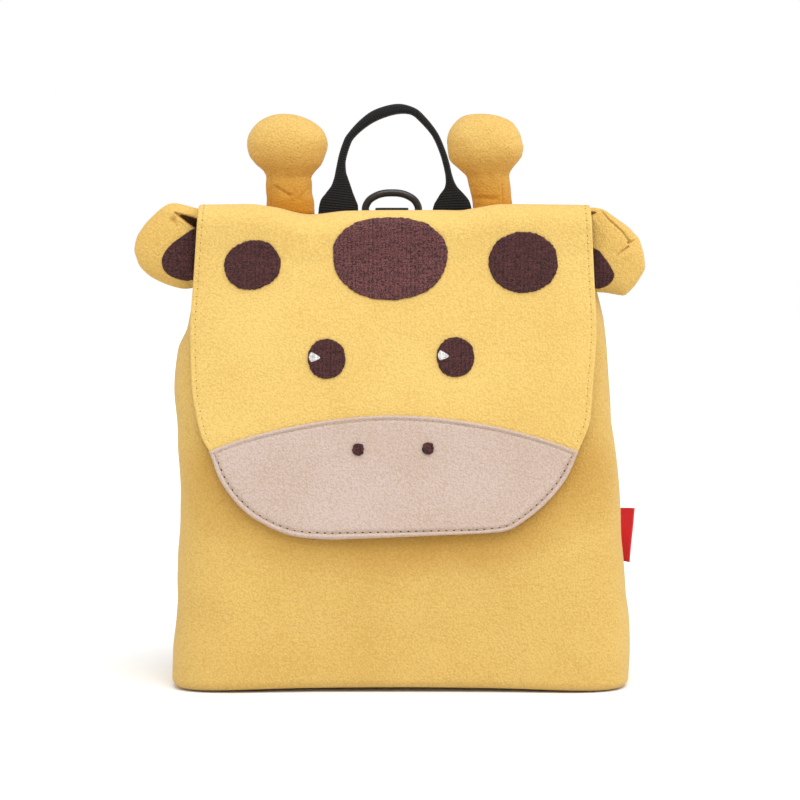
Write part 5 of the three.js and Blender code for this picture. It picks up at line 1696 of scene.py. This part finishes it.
class BAG_OT_back(bpy.types.Operator):
    """Make the padded back panel, the shoulder straps, adjusters and webbing"""

    bl_idname = "backpack.back"
    bl_label = "Back and straps"
    bl_options = {"REGISTER", "UNDO"}

    def execute(self, context):
        form, size = laid_out(context)
        panel = self.panel(form, size)
        for name, side in (("left", -1), ("right", 1)):
            strap = self.strap(form, size, name, side)
            self.adjuster(form, size, name, side)
            self.webbing(form, size, name, side)
        return {"FINISHED"}

    def panel(self, form, size):
        """The padded panel, with a seam inside its edge and quilted seams across it."""
        up = np.linspace(0, 1, 90)[:, None]
        across = np.linspace(-1, 1, 84)[None]
        round_off = 1 - 0.1 * np.abs(up * 2 - 1) ** 6
        z = size.panel_foot + (form.panel_top - size.panel_foot) * up + 0 * across
        half = form.section(z)[2] - size.panel_margin
        x = across * half * round_off
        height = form.panel_top - size.panel_foot
        edge = np.minimum((1 - np.abs(across)) * half, np.minimum(up, 1 - up) * height)
        full = eased(edge / size.panel_rounding)
        deep = size.quilt_depth
        channel = sum(deep * hump((up - place) * height, 0.0, deep) for place in QUILTED_AT)
        seam = 0.0016 * hump(edge, 0.007, 0.0016)
        plump = 0.0012 * np.sin(np.clip(edge / 0.03, 0, 1) * math.pi / 2)
        grid = np.stack([x, 0 * x, z], axis=2)
        off = size.fit + size.panel_thickness * full + plump - channel - seam
        off = off + 0.0004 * dents(grid, 0.02, 6.0) * full
        base = form.back(x, z)
        face = np.stack([x, base + np.maximum(off, 0.0004), z], axis=2)
        rear = np.stack([x, base + 0.0002, z], axis=2)
        return slab("back_padding", face, rear, "suede_body", "yellow_suede", ("back_panel",))

    def strap_line(self, form, size, side):
        """Middle line of a strap, and its width along it as a share of the full one."""
        root_z = form.panel_top - size.panel_thickness
        root_y = float(form.back(0.0, root_z)) + size.fit * 2 + size.panel_thickness
        root_y += size.strap_thickness / 2
        table = np.array(STRAP_LINE)
        line = np.stack([
            side * (size.strap_top + table[:, 2] * size.strap_splay),
            root_y + table[:, 1] * size.strap_bow,
            root_z - table[:, 0] * size.strap_drop,
        ], axis=1)
        path = rounded(line, False, 14)
        stations, run = np.arange(len(table)), np.linspace(0, len(table) - 1, len(path))
        return path, Curve(stations, table[:, 3])(run)

    def strap(self, form, size, name, side):
        """A padded strap with a seam along each edge."""
        path, wide = self.strap_line(form, size, side)
        place = np.linspace(0, 1, len(path))
        ends = eased(np.minimum(place, 1 - place) / 0.03)
        thick = size.strap_thickness * (0.35 + 0.65 * ends)
        loops, lay = band(path, (1.0, 0.0, 0.0), size.strap_width * wide, thick, 64, 3.2)
        side_place = lay[..., 0] / (size.strap_width * wide[:, None] / 2)
        half = size.strap_width / 2
        seam = hump(np.abs(side_place) * half, half - size.strap_seam, 0.0012)
        middle = path[:, None]
        loops = loops + (middle - loops) * (0.28 * seam)[..., None] * np.array([0.0, 1.0, 1.0])
        return lofted(
            "strap_padding_" + name, loops, "suede_body", "yellow_suede",
            ("shoulder_strap_" + name,), lay=lay,
        )

    def end(self, form, size, side):
        """Lower end of a strap, the way on from it, and the way across it."""
        path, _ = self.strap_line(form, size, side)
        along = unit(path[-1] - path[-5])
        through = unit(np.cross(along, (1.0, 0.0, 0.0)))
        return path[-1], along, np.cross(through, along)

    def adjuster(self, form, size, name, side):
        """Three bars with two openings between them, through which the webbing runs."""
        place, along, across = self.end(form, size, side)
        half, opening = size.adjuster_width / 2, size.adjuster_opening / 2
        lines_x = (-half, -opening, opening, half)
        lines_y = [y for bar in ADJUSTER_BARS for y in bar]
        made_of = bmesh.new()
        grid = [[
            made_of.verts.new((x * (1 - 0.08 * y), y * size.adjuster_length, 0.0)) for x in lines_x
        ] for y in lines_y]
        for j in range(len(lines_y) - 1):
            for i in range(len(lines_x) - 1):
                if i == 1 and j % 2:
                    continue
                low, high = grid[j], grid[j + 1]
                made_of.faces.new((low[i], low[i + 1], high[i + 1], high[i]))
        result = bmesh.ops.extrude_face_region(made_of, geom=made_of.faces[:])
        moved = [v for v in result["geom"] if isinstance(v, bmesh.types.BMVert)]
        thick = size.adjuster_thickness
        bmesh.ops.translate(made_of, verts=moved, vec=(0, 0, thick))
        bmesh.ops.translate(made_of, verts=made_of.verts, vec=(0, size.fit, -thick / 2))
        bmesh.ops.recalc_face_normals(made_of, faces=made_of.faces)
        sharp = [e for e in made_of.edges if e.is_manifold and e.calc_face_angle() > 0.5]
        bmesh.ops.bevel(
            made_of, geom=sharp, offset=size.adjuster_rounding, segments=3, affect="EDGES",
            profile=0.6,
        )
        turn = Matrix((across, along, np.cross(across, along))).transposed().to_4x4()
        turn.translation = Vector(place)
        made_of.transform(turn)
        mesh = bpy.data.meshes.new("strap_adjuster_" + name)
        made_of.to_mesh(mesh)
        made_of.free()
        mesh.materials.append(finish_named("plastic_black"))
        placed(mesh, ("adjuster_" + name,))

    def webbing(self, form, size, name, side):
        """Webbing from the strap's end through the adjuster to its foot on the back."""
        place, along, _ = self.end(form, size, side)
        x, z = side * size.webbing_side, size.webbing_foot
        foot = np.array([x, float(form.back(x, z)) + size.fit + size.webbing_thickness / 2, z])
        middle = place + along * size.adjuster_length * 0.5
        line = [
            place - along * 0.004, middle - along * 0.004, middle + along * 0.008,
            place + along * (size.adjuster_length * 1.3 + size.fit * 2),
            foot + (-side * 0.009, size.panel_thickness * 0.6, 0.014),
            foot,
            foot + (side * 0.005, -0.002, -0.007),
        ]
        path = resampled(rounded(line, False, 16), 90)
        loops, lay = band(
            path, (1.0, 0.0, 0.0), size.webbing_width, size.webbing_thickness, power=7.0
        )
        lofted(
            "webbing_" + name, loops, "webbing_black", "black_webbing",
            ("strap_webbing_" + name,), lay=lay,
        )


class BAG_OT_stage(bpy.types.Operator):
    """Lay the floor and set up the light and the camera"""

    bl_idname = "backpack.stage"
    bl_label = "Floor, light and camera"
    bl_options = {"REGISTER", "UNDO"}

    def execute(self, context):
        scene = context.scene
        mesh = bpy.data.meshes.new("floor")
        corners = [(x * FLOOR_REACH, y * FLOOR_REACH, 0) for x, y in FLOOR_CORNERS]
        mesh.from_pydata(corners, [], [(0, 1, 2, 3)])
        floor = bpy.data.objects.new("floor", mesh)
        scene.collection.objects.link(floor)
        finish = Finish("floor_paper")
        mottle = finish.noise(finish.place(), 0.05, 2.0, 0.5)
        tone = tuple(scene.bag_colours.floor)
        finish.set(
            Base_Color=finish.mix(mottle, tone, tuple(c * 0.985 for c in tone)),
            Roughness=0.9 + mottle * 0.05, Specular_IOR_Level=0.1,
        )
        mesh.materials.append(finish.material)
        self.world(scene)
        for name, towards, spread, power in LIGHTS:
            self.light(scene, name, towards, spread, power)
        self.camera(scene)
        return {"FINISHED"}

    def world(self, scene):
        """White where the camera sees past the floor, and a dimmer glow for the rest."""
        world = bpy.data.worlds.new("studio")
        world.use_nodes = True
        tree = world.node_tree
        tree.nodes.clear()
        seen, glow = (tree.nodes.new("ShaderNodeBackground") for _ in range(2))
        seen.inputs["Strength"].default_value = 1.0
        seen.inputs["Color"].default_value = (1.0, 1.0, 1.0, 1.0)
        glow.inputs["Strength"].default_value = WORLD_STRENGTH
        glow.inputs["Color"].default_value = WORLD_TINT
        path = tree.nodes.new("ShaderNodeLightPath")
        blend = tree.nodes.new("ShaderNodeMixShader")
        output = tree.nodes.new("ShaderNodeOutputWorld")
        tree.links.new(path.outputs["Is Camera Ray"], blend.inputs["Fac"])
        tree.links.new(glow.outputs["Background"], blend.inputs[1])
        tree.links.new(seen.outputs["Background"], blend.inputs[2])
        tree.links.new(blend.outputs["Shader"], output.inputs["Surface"])
        scene.world = world
        scene.view_settings.view_transform = "Standard"
        scene.view_settings.look = "None"

    def light(self, scene, name, towards, spread, power):
        """A light from far off, which stands in a direction as seen from the bag."""
        lamp = bpy.data.lights.new(name, "SUN")
        lamp.angle = math.radians(spread)
        lamp.energy = power
        holder = bpy.data.objects.new(name, lamp)
        holder.rotation_euler = (-Vector(towards)).to_track_quat("-Z", "Y").to_euler()
        scene.collection.objects.link(holder)

    def camera(self, scene):
        lens = bpy.data.cameras.new("camera")
        lens.lens = CAMERA["lens"]
        lens.sensor_width = 36.0
        aim, lean = Vector(CAMERA["aim"]), math.radians(CAMERA["lean"])
        eye = bpy.data.objects.new("camera", lens)
        eye.location = aim + Vector((0.0, -math.cos(lean), math.sin(lean))) * CAMERA["away"]
        eye.rotation_euler = (aim - eye.location).to_track_quat("-Z", "Y").to_euler()
        scene.collection.objects.link(eye)
        scene.camera = eye


class BAG_PT_panel(bpy.types.Panel):
    """Lists the pieces of the backpack"""

    bl_idname = "BAG_PT_panel"
    bl_label = "Giraffe backpack"
    bl_space_type = "VIEW_3D"
    bl_region_type = "UI"
    bl_category = "Backpack"

    def draw(self, context):
        for maker in OPERATORS:
            self.layout.operator(maker.bl_idname, text=maker.bl_label)
        for group in (context.scene.bag_sizes, context.scene.bag_colours):
            for name in group.bl_rna.properties.keys():
                if name not in {"rna_type", "name"}:
                    self.layout.prop(group, name)


OPERATORS = (
    BAG_OT_stage, BAG_OT_body, BAG_OT_flap, BAG_OT_face, BAG_OT_ears, BAG_OT_horns,
    BAG_OT_handle, BAG_OT_ring, BAG_OT_tab, BAG_OT_back,
)


def register():
    for kind in (BagSizes, BagColours, *OPERATORS, BAG_PT_panel):
        bpy.utils.register_class(kind)
    bpy.types.Scene.bag_sizes = bpy.props.PointerProperty(type=BagSizes)
    bpy.types.Scene.bag_colours = bpy.props.PointerProperty(type=BagColours)


def unregister():
    del bpy.types.Scene.bag_colours
    del bpy.types.Scene.bag_sizes
    for kind in reversed((BagSizes, BagColours, *OPERATORS, BAG_PT_panel)):
        bpy.utils.unregister_class(kind)


def main():
    register()
    for maker in OPERATORS:
        group, name = maker.bl_idname.split(".")
        getattr(getattr(bpy.ops, group), name)()


if __name__ == "__main__":
    main()
